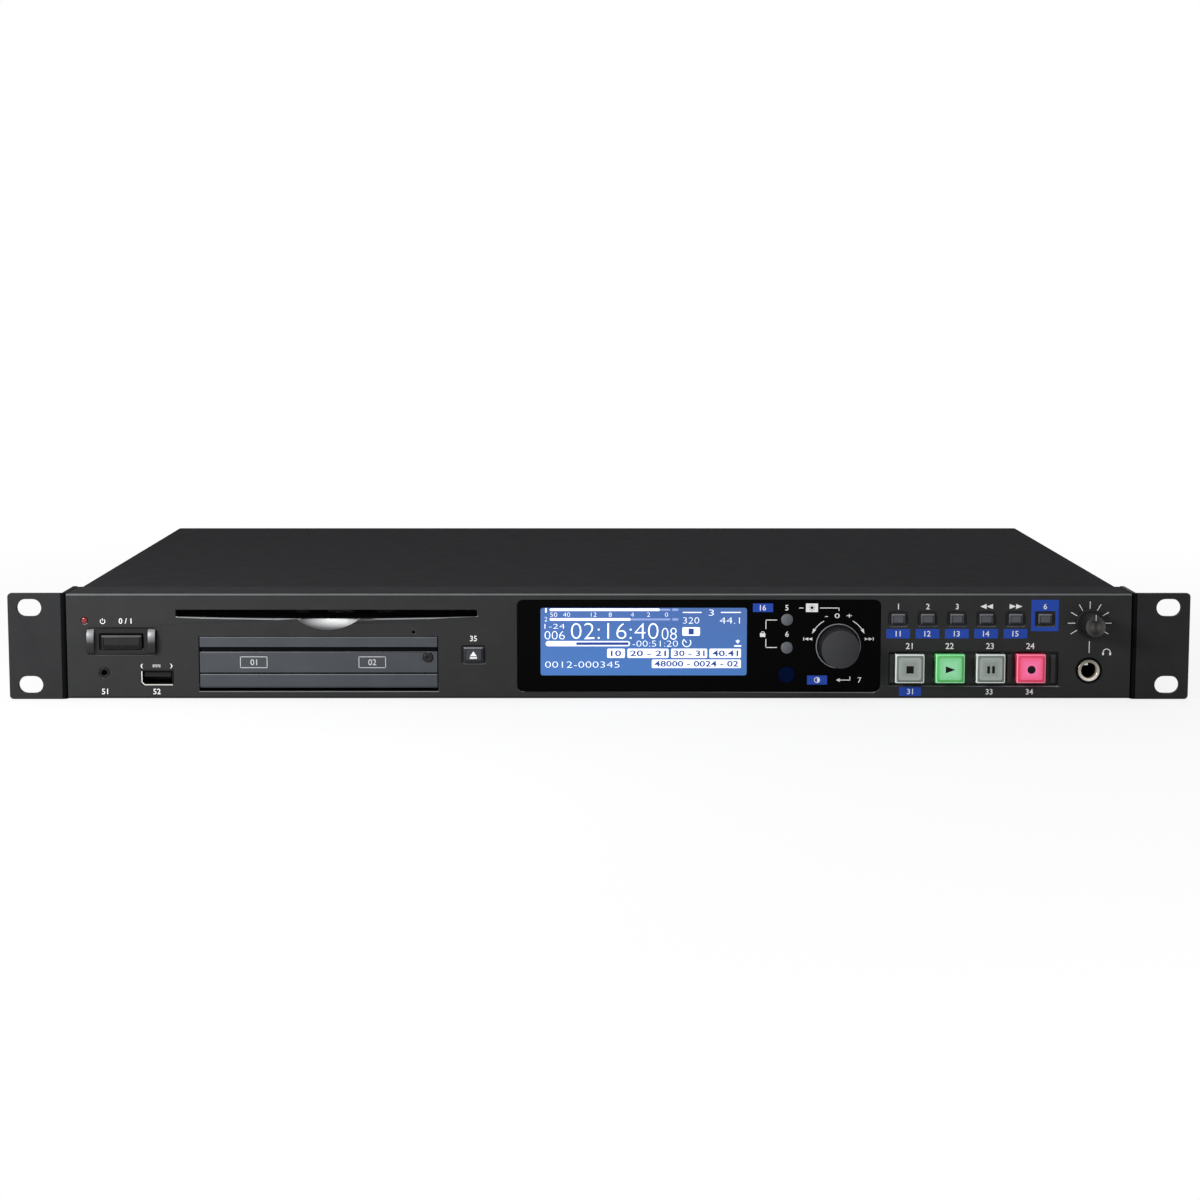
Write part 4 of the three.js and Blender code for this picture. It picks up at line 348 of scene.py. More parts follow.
RED_RIM = finish("red_cap_rim", "#ef3f68", 0.15, 0.6, depth=0)
# Painted highlights: glowing pale outlines on the outer corners of the large caps
CLEAR_CAP_PAINTED_HIGHLIGHT = glowing("clear_cap_painted_highlight", "#d4dad6", 0.35)
GREEN_CAP_PAINTED_HIGHLIGHT = glowing("green_cap_painted_highlight", "#8be0a0", 0.35)
RED_CAP_PAINTED_HIGHLIGHT = glowing("red_cap_painted_highlight", "#f87f9c", 0.35)
EJECT_KEY = finish("eject_plastic", "#2f3035", 0.35, 0.4, depth=0.003)
ROUND_KEY = finish("round_key_plastic", "#585b61", 0.3, 0.5, depth=0.003)


# Working on pieces by hand

def deselect():
    bpy.ops.object.select_all(action="DESELECT")


def pick(*pieces):
    """Selects only these pieces, with the first as the active one."""
    deselect()
    for piece in pieces:
        piece.select_set(True)
    bpy.context.view_layer.objects.active = pieces[0]


def settle(piece):
    """Puts a piece's place, turn and scale into its mesh."""
    pick(piece)
    bpy.ops.object.transform_apply(location=True, rotation=True, scale=True)
    return piece


def paint(piece, material):
    piece.data.materials.clear()
    piece.data.materials.append(material)
    return piece


def open_all(piece):
    """Opens a piece in edit mode with all of it selected."""
    pick(piece)
    bpy.ops.object.mode_set(mode="EDIT")
    bpy.ops.mesh.select_all(action="SELECT")


def open_some(piece, kind, test):
    """Opens a piece in edit mode with the edges or faces that pass the test selected."""
    open_all(piece)
    bpy.ops.mesh.select_mode(type=kind)
    bpy.ops.mesh.select_all(action="DESELECT")
    close()
    for part in piece.data.edges if kind == "EDGE" else piece.data.polygons:
        part.select = test(part)
    bpy.ops.object.mode_set(mode="EDIT")


def close():
    bpy.ops.object.mode_set(mode="OBJECT")


def cut(piece, place, way, **settings):
    """Cuts a piece along a plane."""
    open_all(piece)
    bpy.ops.mesh.bisect(plane_co=place, plane_no=way, **settings)
    close()


def bevelled(piece, radius, segments, test):
    """Rounds only the edges whose two ends pass the test."""
    corners = piece.data.vertices
    open_some(piece, "EDGE", lambda edge: test(*[corners[index].co for index in edge.vertices]))
    bpy.ops.mesh.bevel(offset=radius, segments=segments, affect="EDGES")
    close()
    return piece


def wear(piece, kind, **settings):
    """Applies one modifier."""
    pick(piece)
    modifier = piece.modifiers.new(kind.title(), kind)
    for setting, value in settings.items():
        setattr(modifier, setting, value)
    bpy.ops.object.modifier_apply(modifier=modifier.name)


def smoothed(piece, angle=SMOOTH_ANGLE):
    pick(piece)
    bpy.ops.object.shade_smooth_by_angle(angle=angle)
    return piece


def edged(piece, width, segments=2):
    """Rounds the sharp edges. Only the rounding is shaded smooth, so flat faces stay flat."""
    wear(piece, "BEVEL", width=width, segments=segments, limit_method="ANGLE", angle_limit=EDGE_ANGLE,
         use_clamp_overlap=False)
    smoothed(piece, ROUNDING_ANGLE if segments < 3 else SMOOTH_ANGLE)
    for face in piece.data.polygons:
        if max(abs(side) for side in face.normal) > SQUARE_ON:
            face.use_smooth = False


def repaint(piece, material, test):
    """Gives a second material to the faces whose middle and direction pass the test."""
    piece.data.materials.append(material)
    last = len(piece.data.materials) - 1
    for face in piece.data.polygons:
        if test(face.center, face.normal):
            face.material_index = last


def copied(node, name):
    """A merged copy of a CAD node's mesh."""
    piece = bpy.data.objects.new(name, frame["nodes"][node].data.copy())
    bpy.context.scene.collection.objects.link(piece)
    open_all(piece)
    bpy.ops.mesh.remove_doubles(threshold=MERGE_DISTANCE)
    close()
    return piece


def body_of(node):
    bodies = frame["record"]["behaviour"]["bodies"]
    return next(body for body, nodes in bodies.items() if node in nodes)


def stands_for(piece, node):
    """The piece is shown in place of the node and moves with it."""
    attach(piece, body_of(node))
    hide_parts(node)
    return piece


def rides(piece, body):
    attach(piece, body)


def dressed(node, material, width, segments=2):
    """A node's shape with edges rounded by this many millimetres and its real finish."""
    piece = paint(copied(node, node + "_finished"), material)
    edged(piece, width * MM, segments)
    return stands_for(piece, node)


def joined(name, pieces):
    """Several pieces as one."""
    pick(*pieces)
    bpy.ops.object.join()
    whole = bpy.context.active_object
    whole.name = name
    whole.data.name = name
    return whole


def block(middle, size, tilt=0.0):
    """A box, turned about the front-to-back axis where it is tilted."""
    deselect()
    bpy.ops.mesh.primitive_cube_add(size=1, location=middle, rotation=(0, tilt, 0), scale=size)
    return settle(bpy.context.active_object)


def turned(x, z, profile, sides):
    """A round piece on a front-to-back axis: a disc drawn out through each radius and depth."""
    deselect()
    radius, depth = profile[0]
    bpy.ops.mesh.primitive_circle_add(vertices=sides, radius=radius, fill_type="NGON",
                                      location=(x, depth, z), rotation=FRONT_TURN)
    piece = settle(bpy.context.active_object)
    open_all(piece)
    for next_radius, next_depth in profile[1:]:
        bpy.ops.mesh.extrude_region_move(TRANSFORM_OT_translate={"value": (0, next_depth - depth, 0)})
        share = next_radius / radius
        bpy.ops.transform.resize(value=(share, 1, share), center_override=(x, next_depth, z))
        radius, depth = next_radius, next_depth
    bpy.ops.mesh.select_all(action="SELECT")
    bpy.ops.mesh.normals_make_consistent(inside=False)
    close()
    return piece


# Floor, light and camera

def studio():
    bpy.ops.mesh.primitive_plane_add(size=FLOOR_SIZE, location=(0, 0, 0))
    floor = bpy.context.active_object
    floor.name = "floor"
    material, tree, place = new_material("pale_floor")
    surface(material, {"Base Color": (0.86, 0.86, 0.86, 1), "Roughness": 0.9, "Specular IOR Level": 0.0})
    pale = tree.nodes["Principled BSDF"].outputs["BSDF"]
    white = add(tree, "Emission", {"Color": (1, 1, 1, 1)})["Emission"]
    away = add(tree, "VectorMath", {0: place}, operation="LENGTH")["Value"]
    whiter = ranged(tree, away, FLOOR_WHITE_NEAR, 1, *FLOOR_FADE)
    share = maths(tree, "MULTIPLY", add(tree, "LightPath", {})["Is Camera Ray"], whiter)
    blend = add(tree, "MixShader", {"Fac": share, 1: pale, 2: white})["Shader"]
    fill(tree, tree.nodes["Material Output"], {"Surface": blend})
    paint(floor, material)

    world = bpy.data.worlds.new("studio")
    bpy.context.scene.world = world
    world.use_nodes = True
    tree = world.node_tree
    backdrop = tree.nodes["Background"]
    fill(tree, backdrop, {"Color": (1, 1, 1, 1)})
    soft = add(tree, "Background", {"Color": (0.94, 0.97, 1, 1), "Strength": SKY_STRENGTH})["Background"]
    rays = add(tree, "LightPath", {})
    seen = maths(tree, "MAXIMUM", rays["Is Camera Ray"], rays["Is Glossy Ray"])
    seen = maths(tree, "MAXIMUM", seen, rays["Is Transmission Ray"])
    blend = add(tree, "MixShader", {"Fac": seen, 1: soft, 2: backdrop.outputs["Background"]})["Shader"]
    fill(tree, tree.nodes["World Output"], {"Surface": blend})


def soft_box(name, place, target, size, power):
    """Soft box that faces a target."""
    deselect()
    bpy.ops.object.light_add(type="AREA", location=place)
    light = bpy.context.active_object
    light.name = name
    light.data.shape = "RECTANGLE"
    light.data.size, light.data.size_y = size
    light.data.energy = power
    aim = Vector(target) - Vector(place)
    light.rotation_euler = aim.to_track_quat("-Z", "Y").to_euler()


def camera():
    deselect()
    bpy.ops.object.camera_add(location=CAMERA_PLACE, rotation=(CAMERA_TILT, 0, 0))
    view = bpy.context.active_object
    view.data.lens = CAMERA_LENS
    view.data.sensor_width = SENSOR_WIDTH
    view.data.shift_x = CAMERA_SHIFT
    view.data.clip_start = NEAREST
    view.data.clip_end = FARTHEST
    bpy.context.scene.camera = view


camera()
studio()
# Name, place, target, width with height, power
soft_box("key_light", (-0.47, -0.52, 0.3), (-0.15, -0.14, 0.02), (0.22, 0.2), 3.3)
soft_box("top_light", (0.1, 0.1, 1.7), (0, 0, 0), (1.8, 1.4), 10)
soft_box("back_light", (0.35, 1.35, 0.6), (0, CASE_BACK, 0.02), (1.0, 0.7), 9)
bpy.context.scene.view_settings.view_transform = "Standard"


# Case and panel

SCOOP_MIDDLE = -110.6 * MM
SCOOP_HALF = 13.4 * MM
SCOOP_LOW = 28.3 * MM
LIP_LOW = 33 * MM
SLOT_TOP = 37.2 * MM
SLOT_HALF = 62 * MM
SLOT_LEFT = -172.8 * MM
SLOT_END_REACH = 12 * MM
BOTTOM_EDGE = 2 * MM
PAINTED_DEPTH = 0.05 * MM
BEND_REACH = 2.3 * MM
EAR_EDGE = 0.2 * MM
EAR_TOP_BACK = 2.2 * MM
PANEL_EDGE_ROUND = 0.22 * MM
LIP_ROUND = 0.5 * MM
LIP_REACH = 0.5 * MM

# Lower lips of slot, window, tray and card bay in millimetres: left, right, lowest, highest
CHAMFERED_LIPS = ((-173.0, -49.4, 33.0, 34.3), (-33.6, 115.4, 2.95, 3.25), (118.4, 188.3, 5.35, 5.65))
LIPS = CHAMFERED_LIPS + ((-163.8, -65.4, 3.1, 3.35),)


def by_a_lip(point, lips, below=0.0):
    """True within one of these lips, or this far below it."""
    return any(left * MM < point.x < right * MM and low * MM - below < point.z < high * MM
               for left, right, low, high in lips)


def faces_up_front(middle, normal):
    """True on edges that face up and forward, which take a painted highlight."""
    return normal.z > 0.3 and normal.y < -0.3


def on_lower_lip(middle, normal):
    """True on the chamfers of those lips."""
    if not faces_up_front(middle, normal) or middle.y > PANEL_FRONT + LIP_REACH:
        return False
    return by_a_lip(middle, LIPS, LIP_REACH)


def on_slot_lip(middle, normal):
    return on_lower_lip(middle, normal) and middle.z > LIP_LOW - LIP_REACH


def in_slot(middle, normal):
    """True on the walls of the disc slot behind its lip."""
    across = abs(middle.x - SCOOP_MIDDLE) < SLOT_HALF
    return across and middle.y > PANEL_FRONT + LIP_REACH and LIP_LOW < middle.z < SLOT_TOP


def in_scoop(middle, normal):
    """True on the finger scoop below the disc slot."""
    across = abs(middle.x - SCOOP_MIDDLE) < SCOOP_HALF
    return across and middle.y > PANEL_FRONT + PAINTED_DEPTH and SCOOP_LOW < middle.z < LIP_LOW


def on_bottom_edge(middle, normal):
    return normal.z < -0.3 and normal.y < -0.2 and middle.z < BOTTOM_EDGE


def on_panel_roof(middle, normal):
    return normal.z > 0.9 and middle.z > PANEL_HIGH.z - 0.1 * MM


def edge_of_a_lip(*ends):
    return all(abs(end.y - PANEL_FRONT) <= 0.01 * MM and by_a_lip(end, CHAMFERED_LIPS) for end in ends)


bezel = bevelled(copied("front_bezel", "front_bezel_finished"), LIP_ROUND, 1, edge_of_a_lip)
for corner in bezel.data.vertices:
    beyond = SLOT_LEFT - SLOT_END_REACH < corner.co.x < SLOT_LEFT
    if beyond and LIP_LOW < corner.co.z < SLOT_TOP and corner.co.y < PANEL_FRONT + LIP_REACH:
        corner.co.x = SLOT_LEFT
paint(bezel, PANEL)
edged(bezel, PANEL_EDGE_ROUND)
stands_for(bezel, "front_bezel")
# Painted light on the bezel: painted shade on the roof, in the slot and on the bottom edge; painted
# highlights on edges and lips that face up and on the silver scoop
for light_or_shade_paint, where_painted in (
        (PANEL_ROOF_PAINTED_SHADE, on_panel_roof), (PANEL_EDGE_PAINTED_HIGHLIGHT, faces_up_front), (BAY_EDGE_PAINTED_HIGHLIGHT, on_lower_lip),
        (SLOT_LIP_PAINTED_HIGHLIGHT, on_slot_lip), (PAINTED_SHADE_BLACK, in_slot), (PAINTED_SHADE_BLACK, on_bottom_edge), (SCOOP_PAINTED_HIGHLIGHT, in_scoop)):
    repaint(bezel, light_or_shade_paint, where_painted)


def ear(node, inner, way):
    """Bent rack ear: satin face, with painted shade, near black, on the bend and on the top edge."""
    piece = paint(copied(node, node + "_finished"), EAR_PAINT)
    cut(piece, (inner + way * BEND_REACH, 0, 0), (1, 0, 0))
    edged(piece, EAR_EDGE)
    repaint(piece, PAINTED_SHADE_BLACK, lambda middle, normal: abs(middle.x - inner) < BEND_REACH)
    repaint(piece, PAINTED_SHADE_BLACK, lambda middle, normal: normal.z > 0.5 and middle.y > PANEL_FRONT + EAR_TOP_BACK)
    stands_for(piece, node)


ear("rack_ear_left", PANEL_LOW.x, -1)
ear("rack_ear_right", PANEL_HIGH.x, 1)
# Painted shade, near black, on the rounded bends of the top cover
repaint(dressed("top_cover", PAINT, 0.2), PAINTED_SHADE_BLACK,
        lambda middle, normal: abs(normal.x) > 0.35 and normal.z > 0.15)
dressed("bottom_chassis", GREY_STEEL, 0.1)
dressed("rear_panel", PAINT, 0.1)
dressed("display_window", WINDOW, 0.08)

# Door with painted shade in its grooves, a painted highlight on its edges that face up, and its lock screw
GROOVE_BANDS = ((19.2 * MM, 21.7 * MM), (10.0 * MM, 11.2 * MM))
DOOR_FRONT = front("sd_door")


def in_door_groove(middle, normal):
    sunk = middle.y > DOOR_FRONT + PAINTED_DEPTH and normal.y < 0.5
    return sunk and any(low < middle.z < high for low, high in GROOVE_BANDS)


door = dressed("sd_door", DOOR, 0.12)
repaint(door, PAINTED_SHADE_BLACK, in_door_groove)
repaint(door, BAY_EDGE_PAINTED_HIGHLIGHT, faces_up_front)
dressed("security_screw", SCREW, 0.1)

# Guard of the power button, with a painted highlight on the front of its ribs, bright at the top and dark
# lower down
GUARD_FRONT = front("power_button_guard")
repaint(dressed("power_button_guard", GLOSS_DARK, 0.12), RIB_PAINTED_HIGHLIGHT,
        lambda middle, normal: middle.y < GUARD_FRONT + 2 * MM and normal.y < -0.2)


# Keys: the CAD's stem and flange behind, a cap in front

STEM_OVERLAP = 0.2 * MM
CREASE = 0.01 * MM
# Shares of a cap's width, of a crown's height and of a round button's radius
CORNER_REACH = 0.459
CROWN_BASE = 1.25
CROWN_RADIUS = 0.985
CROWN_STEPS = (1, 0.97, 0.85, 0.7, 0.55, 0.4, 0.25, 0.1)


def stem_of(node, sunk, material):
    """What lies further back than the front of a CAD node by this much."""
    stem = copied(node, node + "_stem")
    cut(stem, (0, front(node) + sunk, 0), (0, -1, 0), use_fill=True, clear_outer=True)
    return paint(stem, material)


def key_cap(node, size, sunk, rim, slope, edge, cap_material, rim_material, corner_highlight=None,
            top_highlight=None, low_shade=None):
    """A key cap with a sloped rim round its face, on the stem of the CAD node. In millimetres. Its outer
    corners and upper faces can take a painted highlight, its lower faces painted shade.
    """
    width, height = size[0] * MM, size[1] * MM
    face = front(node)
    middle = centre(node)
    stem = stem_of(node, sunk * MM, rim_material)
    depth = sunk * MM + STEM_OVERLAP
    cap = block((middle.x, face + depth / 2, middle.z), (width, depth, height))
    open_some(cap, "FACE", lambda side: side.normal.y < -0.9)
    bpy.ops.mesh.inset(thickness=rim * MM)
    bpy.ops.mesh.inset(thickness=CREASE)
    close()
    for corner in cap.data.vertices:
        across = abs(corner.co.x - middle.x) - width / 2
        up = abs(corner.co.z - middle.z) - height / 2
        if corner.co.y < face + CREASE and max(across, up) > -0.5 * rim * MM:
            corner.co.y += slope * MM
    paint(cap, cap_material)
    edged(cap, edge * MM, 3)
    repaint(cap, rim_material, lambda place, normal: normal.y > -0.98)

    def on_outer_corner(place, normal):
        """True on the rounded outer corners of the rim, which take a painted highlight."""
        reach = max(abs(place.x - middle.x) / width, abs(place.z - middle.z) / height)
        return reach > CORNER_REACH and max(abs(side) for side in normal) < 0.99

    # Painted highlight on faces that look up, painted shade on faces that look down
    if top_highlight is not None:
        repaint(cap, top_highlight, lambda place, normal: normal.z > 0.2 and normal.y < -0.2)
        repaint(cap, low_shade, lambda place, normal: normal.z < -0.2)
    if corner_highlight is not None:
        repaint(cap, corner_highlight, on_outer_corner)
    stands_for(joined(node + "_finished", [cap, stem]), node)


SMALL_KEYS = ("menu_button", "key_button", "pitch_button", "rewind_button", "forward_button", "shift_button")
LARGE_CAPS = {
    "stop_button": (CLEAR_CAP, CLEAR_RIM, CLEAR_CAP_PAINTED_HIGHLIGHT),
    "play_button": (GREEN_CAP, GREEN_RIM, GREEN_CAP_PAINTED_HIGHLIGHT),
    "pause_button": (PAUSE_CAP, CLEAR_RIM, CLEAR_CAP_PAINTED_HIGHLIGHT),
    "record_button": (RED_CAP, RED_RIM, RED_CAP_PAINTED_HIGHLIGHT),
}
# Width and height, how far it stands out, rim, its slope, rounding
# Power key: painted highlight on its upper edge, dark gloss plastic as painted shade on its lower edge
key_cap("power_button", (16.6, 5.2), 1.4, 0.8, 0.55, 0.25, POWER_FACE, POWER_FACE, None, POWER_PAINTED_HIGHLIGHT,
        GLOSS_DARK)
# Large caps: painted highlights on their outer corners
for cap_node, cap_materials in LARGE_CAPS.items():
    key_cap(cap_node, (11.8, 11.8), 3.4, 1.35, 0.55, 0.45, *cap_materials)
dressed("transport_tray", TRAY, 0.15)
# Small keys and eject: painted highlight on their upper edges, painted shade on their lower edges
for key_node in SMALL_KEYS:
    key_cap(key_node, (5.6, 4.3), 1.2, 0.6, 0.42, 0.22, KEY, KEY, None, KEY_PAINTED_HIGHLIGHT, KEY_DARK_AND_PAINTED_SHADE)
key_cap("eject_button", (8.15, 6.4), 1.2, 0.7, 0.45, 0.22, EJECT_KEY, KEY_DARK_AND_PAINTED_SHADE, None, KEY_PAINTED_HIGHLIGHT, KEY_DARK_AND_PAINTED_SHADE)


def crowned(node, radius, crown, sunk, face_material, side_material, sides=72):
    """A round button or knob with a low crown, on the stem of the CAD node. In millimetres."""
    face = front(node)
    middle = centre(node)
    stem = stem_of(node, sunk * MM, side_material)
    profile = [(radius * MM, face + sunk * MM + STEM_OVERLAP), (radius * MM, face + crown * MM * CROWN_BASE)]
    profile += [(radius * MM * share * CROWN_RADIUS, face + crown * MM * share * share)
                for share in CROWN_STEPS]
    cap = paint(turned(middle.x, middle.z, profile, sides), side_material)
    repaint(cap, face_material, lambda place, normal: normal.y < -0.75)
    smoothed(cap)
    stands_for(joined(node + "_finished", [cap, stem]), node)


# Radius, crown, how far it stands out
crowned("home_button", 2.45, 0.6, 0.9, ROUND_KEY, GLOSS_DARK, 40)
crowned("media_button", 2.45, 0.6, 0.9, ROUND_KEY, GLOSS_DARK, 40)
dressed("ir_lens", LENS, 0.1)

# Knobs
RING_FRONT = front("jog_ring")
PHONES_FRONT = front("phones_knob")
# Painted highlight on the jog ring's front edge
repaint(dressed("jog_ring", GLOSS_DARK, 0.16, 3), BAY_EDGE_PAINTED_HIGHLIGHT,
        lambda middle, normal: middle.y < RING_FRONT + 0.3 * MM and -0.95 < normal.y < -0.1)
crowned("jog_knob", 7.85, 1.7, 2.6, KNOB_FACE, KNOB_SIDE)
# Phones knob with rings and a painted sheen on its face
repaint(dressed("phones_knob", KNOB_SIDE, 0.12), PHONES_FACE_PAINTED_SHEEN,
        lambda middle, normal: normal.y < -0.9 and middle.y < PHONES_FRONT + 1 * MM)

# Headphone jack: a nickel nose with a painted highlight, a bright bore, and the lamp
JACK_FRONT = front("phones_jack")
JACK_BRIGHT = JACK_FRONT + 3.4 * MM
JACK_HOLE = 3.5 * MM
PIN_REACH = 6.5 * MM
PIN_ROOT = 13 * MM


def from_axis(node, place):
    """How far a place is from the front-to-back line through a node's middle."""
    middle = centre(node)
    return hypot(place.x - middle.x, place.z - middle.z)


jack = copied("phones_jack", "phones_jack_finished")
cut(jack, (0, JACK_BRIGHT, 0), (0, 1, 0))
paint(jack, JACK_NICKEL_PAINTED_HIGHLIGHT)
edged(jack, 0.3 * MM, 4)
repaint(jack, JACK_WALL,
        lambda place, normal: abs(normal.y) < 0.5 and from_axis("phones_jack", place) < JACK_HOLE)
repaint(jack, DARK, lambda place, normal: place.y > JACK_BRIGHT)
stands_for(jack, "phones_jack")
dressed("standby_lamp", LAMP, 0.25, 3)

# Other sockets, two of them with gilt pins in their cups
dressed("usb_port", USB_DARK, 0.12)
for socket_node in ("remote_jack", "mains_inlet", "xlr_input_left", "xlr_input_right"):
    dressed(socket_node, DARK, 0.15)


def pins_gilt(node):
    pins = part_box(node)[1].y - PIN_ROOT
    repaint(dressed(node, DARK, 0.15), GOLD,
            lambda place, normal: place.y > pins and from_axis(node, place) < PIN_REACH)


pins_gilt("xlr_output_left")
pins_gilt("xlr_output_right")
for metal_node in ("rca_block", "control_connector", "network_jack"):
    dressed(metal_node, CHROME, 0.12)

# The drive behind the slot, with painted shade, near black, on its front
DRIVE_SHADE_DEPTH = front("disc_drive_case") + 3 * MM
repaint(dressed("disc_drive_case", GREY_STEEL, 0.05), PAINTED_SHADE_BLACK, lambda middle, normal: middle.y < DRIVE_SHADE_DEPTH)

HIDDEN = (
    (BOARD, ("input_board", "front_board", "main_board", "power_supply_board")),
    (DARK, ("jog_encoder", "sd_bay_frame", "spindle_turntable", "pickup_sled")),
    (GREY_STEEL, ("card_socket_left", "card_socket_right", "phones_pot", "disc_drive_cover",
                  "spindle_motor")),
    (CHROME, ("jog_rotor", "lead_screw")), (RUBBER, ("loading_roller",)), (DISPLAY, ("lcd_module",)),
)
for material, nodes in HIDDEN:
    for node in nodes:
        paint(frame["nodes"][node], material)


# Ink: marks that stand a hair's breadth proud of the face that carries them

FIGURE = 2.3
LINE = 0.32
TRIANGLE_WIDTH = 3 ** 0.5
TRIANGLE_HEIGHT = 1.5
TRIANGLE_MIDDLE = 0.25
RIGHT = 0
UP = 90
LEFT = 180
DOWN = -90


def beside(node, right=0.0, up=0.0):
    """A place on the panel in millimetres, measured from a node's middle."""
    middle = centre(node)
    return middle.x / MM + right, middle.z / MM + up


def along(place, angle, reach):
    """The place that lies this far away at an angle in degrees above the right."""
    turn = radians(angle)
    return place[0] + reach * cos(turn), place[1] + reach * sin(turn)


def shifted(place, right=0.0, up=0.0):
    return place[0] + right, place[1] + up


def round_uprights(piece, radius, segments):
    """Rounds the four edges that run from front to back by this many millimetres."""
    return bevelled(piece, radius * MM, segments, lambda one, other: abs(one.y - other.y) > INK_SUNK)


class Ink:
    """Marks of one ink on a face. Places and sizes are in millimetres, angles in degrees."""

    def __init__(self, face, depth=INK_DEPTH):
        self.face = face
        self.depth = depth
        self.marks = []

    def at(self, place):
        return place[0] * MM, self.face - self.depth / 2 + INK_SUNK, place[1] * MM

    def keep(self, mark):
        self.marks.append(mark)
        return mark

    def line(self, start, end, width=LINE):
        """A straight bar between two places."""
        run = (end[0] - start[0], end[1] - start[1])
        middle = ((start[0] + end[0]) / 2, (start[1] + end[1]) / 2)
        size = (hypot(*run) * MM, self.depth, width * MM)
        return self.keep(block(self.at(middle), size, -atan2(run[1], run[0])))

    def box(self, place, size):
        """A flat panel, centred at a place."""
        return self.line(shifted(place, -size[0] / 2), shifted(place, size[0] / 2), size[1])

    def frame(self, place, size, line):
        """The outline of a rectangle, as four bars."""
        half_x = size[0] / 2 - line / 2
        half_z = size[1] / 2 - line / 2
        for way in (1, -1):
            self.box(shifted(place, 0, way * half_z), (size[0], line))
            self.box(shifted(place, way * half_x), (line, size[1]))

    def pill(self, place, size):
        """A bar with round ends."""
        round_uprights(self.box(place, size), min(size) * 0.49, 4)

    def disc(self, place, radius, sides):
        deselect()
        bpy.ops.mesh.primitive_cylinder_add(vertices=sides, radius=radius * MM, depth=self.depth,
                                            location=self.at(place), rotation=FRONT_TURN)
        return self.keep(settle(bpy.context.active_object))

    def arc(self, place, radius, start, end, line=LINE, steps=14):
        """Part of a ring: a small plate spun round a centre, from one angle to another."""
        deselect()
        bpy.ops.mesh.primitive_plane_add(size=1, location=self.at(along(place, start, radius)),
                                         rotation=(0, -radians(start), 0))
        plate = bpy.context.active_object
        plate.scale = (line * MM, self.depth, 1)
        open_all(settle(plate))
        bpy.ops.mesh.spin(steps=steps, angle=radians(end - start), axis=(0, 1, 0),
                          center=(place[0] * MM, self.face, place[1] * MM))
        bpy.ops.mesh.select_all(action="SELECT")
        bpy.ops.mesh.remove_doubles(threshold=MERGE_DISTANCE)
        bpy.ops.mesh.normals_make_consistent(inside=False)
        close()
        self.keep(plate)

    def arrow(self, place, length, width, pointing):
        """A triangle that points along an angle."""
        deselect()
        bpy.ops.mesh.primitive_cylinder_add(vertices=3, radius=1, depth=self.depth, rotation=FRONT_TURN)
        arrow = settle(bpy.context.active_object)
        open_all(arrow)
        bpy.ops.transform.translate(value=(0, 0, -TRIANGLE_MIDDLE))
        bpy.ops.transform.resize(value=(width * MM / TRIANGLE_WIDTH, 1, length * MM / TRIANGLE_HEIGHT),
                                 center_override=(0, 0, 0))
        close()
        arrow.rotation_euler = (0, radians(UP - pointing), 0)
        arrow.location = self.at(place)
        self.keep(settle(arrow))

    def double_arrow(self, place, length, height, pointing, stop=False):
        """Two arrow heads in a row, with a stop bar in front where one is wanted."""
        way = 1 if pointing == RIGHT else -1
        for step in (-0.5, 0.5):
            self.arrow(shifted(place, way * step * length), length, height, pointing)
        if stop:
            self.box(shifted(place, way * (length + LINE)), (LINE, height))

    def figures(self, words, place, height=FIGURE, width=None, weight=0.008):
        """Plain figures, centred at a place and fitted to a height, or to a width too."""
        deselect()
        bpy.ops.object.text_add(location=(0, 0, 0))
        text = bpy.context.active_object.data
        text.body = words
        text.resolution_u = 3
        text.extrude = 0.01
        text.offset = weight
        bpy.ops.object.convert(target="MESH")
        figures = bpy.context.active_object
        across = [corner.co.x for corner in figures.data.vertices]
        up = [corner.co.y for corner in figures.data.vertices]
        left, right, low, high = min(across), max(across), min(up), max(up)
        rise = height * MM / (high - low)
        spread = rise if width is None else width * MM / (right - left)
        open_all(figures)
        bpy.ops.mesh.remove_doubles(threshold=0.0005)
        bpy.ops.transform.translate(value=(-(left + right) / 2, -(low + high) / 2, 0))
        bpy.ops.transform.resize(value=(spread, rise, self.depth / 0.02), center_override=(0, 0, 0))
        close()
        figures.rotation_euler = FRONT_TURN
        figures.location = self.at(place)
        self.keep(settle(figures))

    def done(self, name, material, node):
        """Joins the marks to one piece, on the body of a CAD node."""
        rides(paint(joined(name, self.marks), material), body_of(node))


# Marks printed on the panel and the pane. Only figures and signs, never words

PANE_FRONT = front("display_window")
white = Ink(PANEL_FRONT)
blue = Ink(PANEL_FRONT)
boxed = Ink(PANEL_FRONT - INK_DEPTH / 2)


def tag(place, size, words):
    """A blue box with white figures."""
    blue.box(place, size)
    boxed.figures(words, place)


# Standby sign, off and on, socket numbers, and the direct current sign over the small socket
POWER_SIGN = (-202.6, 32.15)
CURRENT_SIGN = (-180.96, 14.1)
white.arc(POWER_SIGN, 0.95, 125, 415, 0.28, 20)
white.line(shifted(POWER_SIGN, 0, 0.2), shifted(POWER_SIGN, 0, 1.25), 0.28)
white.figures("0 / 1", (-193.4, 32.3))
white.figures("51", (-202.28, 3.17))
white.figures("52", (-180.99, 3.17))
white.figures("(          )", (-180.96, 13.72), 1.9, 13)
white.box(CURRENT_SIGN, (3.2, 0.24))
for step in (-1.2, 0, 1.2):
    white.box(shifted(CURRENT_SIGN, step, -0.7), (0.8, 0.24))
white.figures("35", beside("eject_button", 0, 6.65))

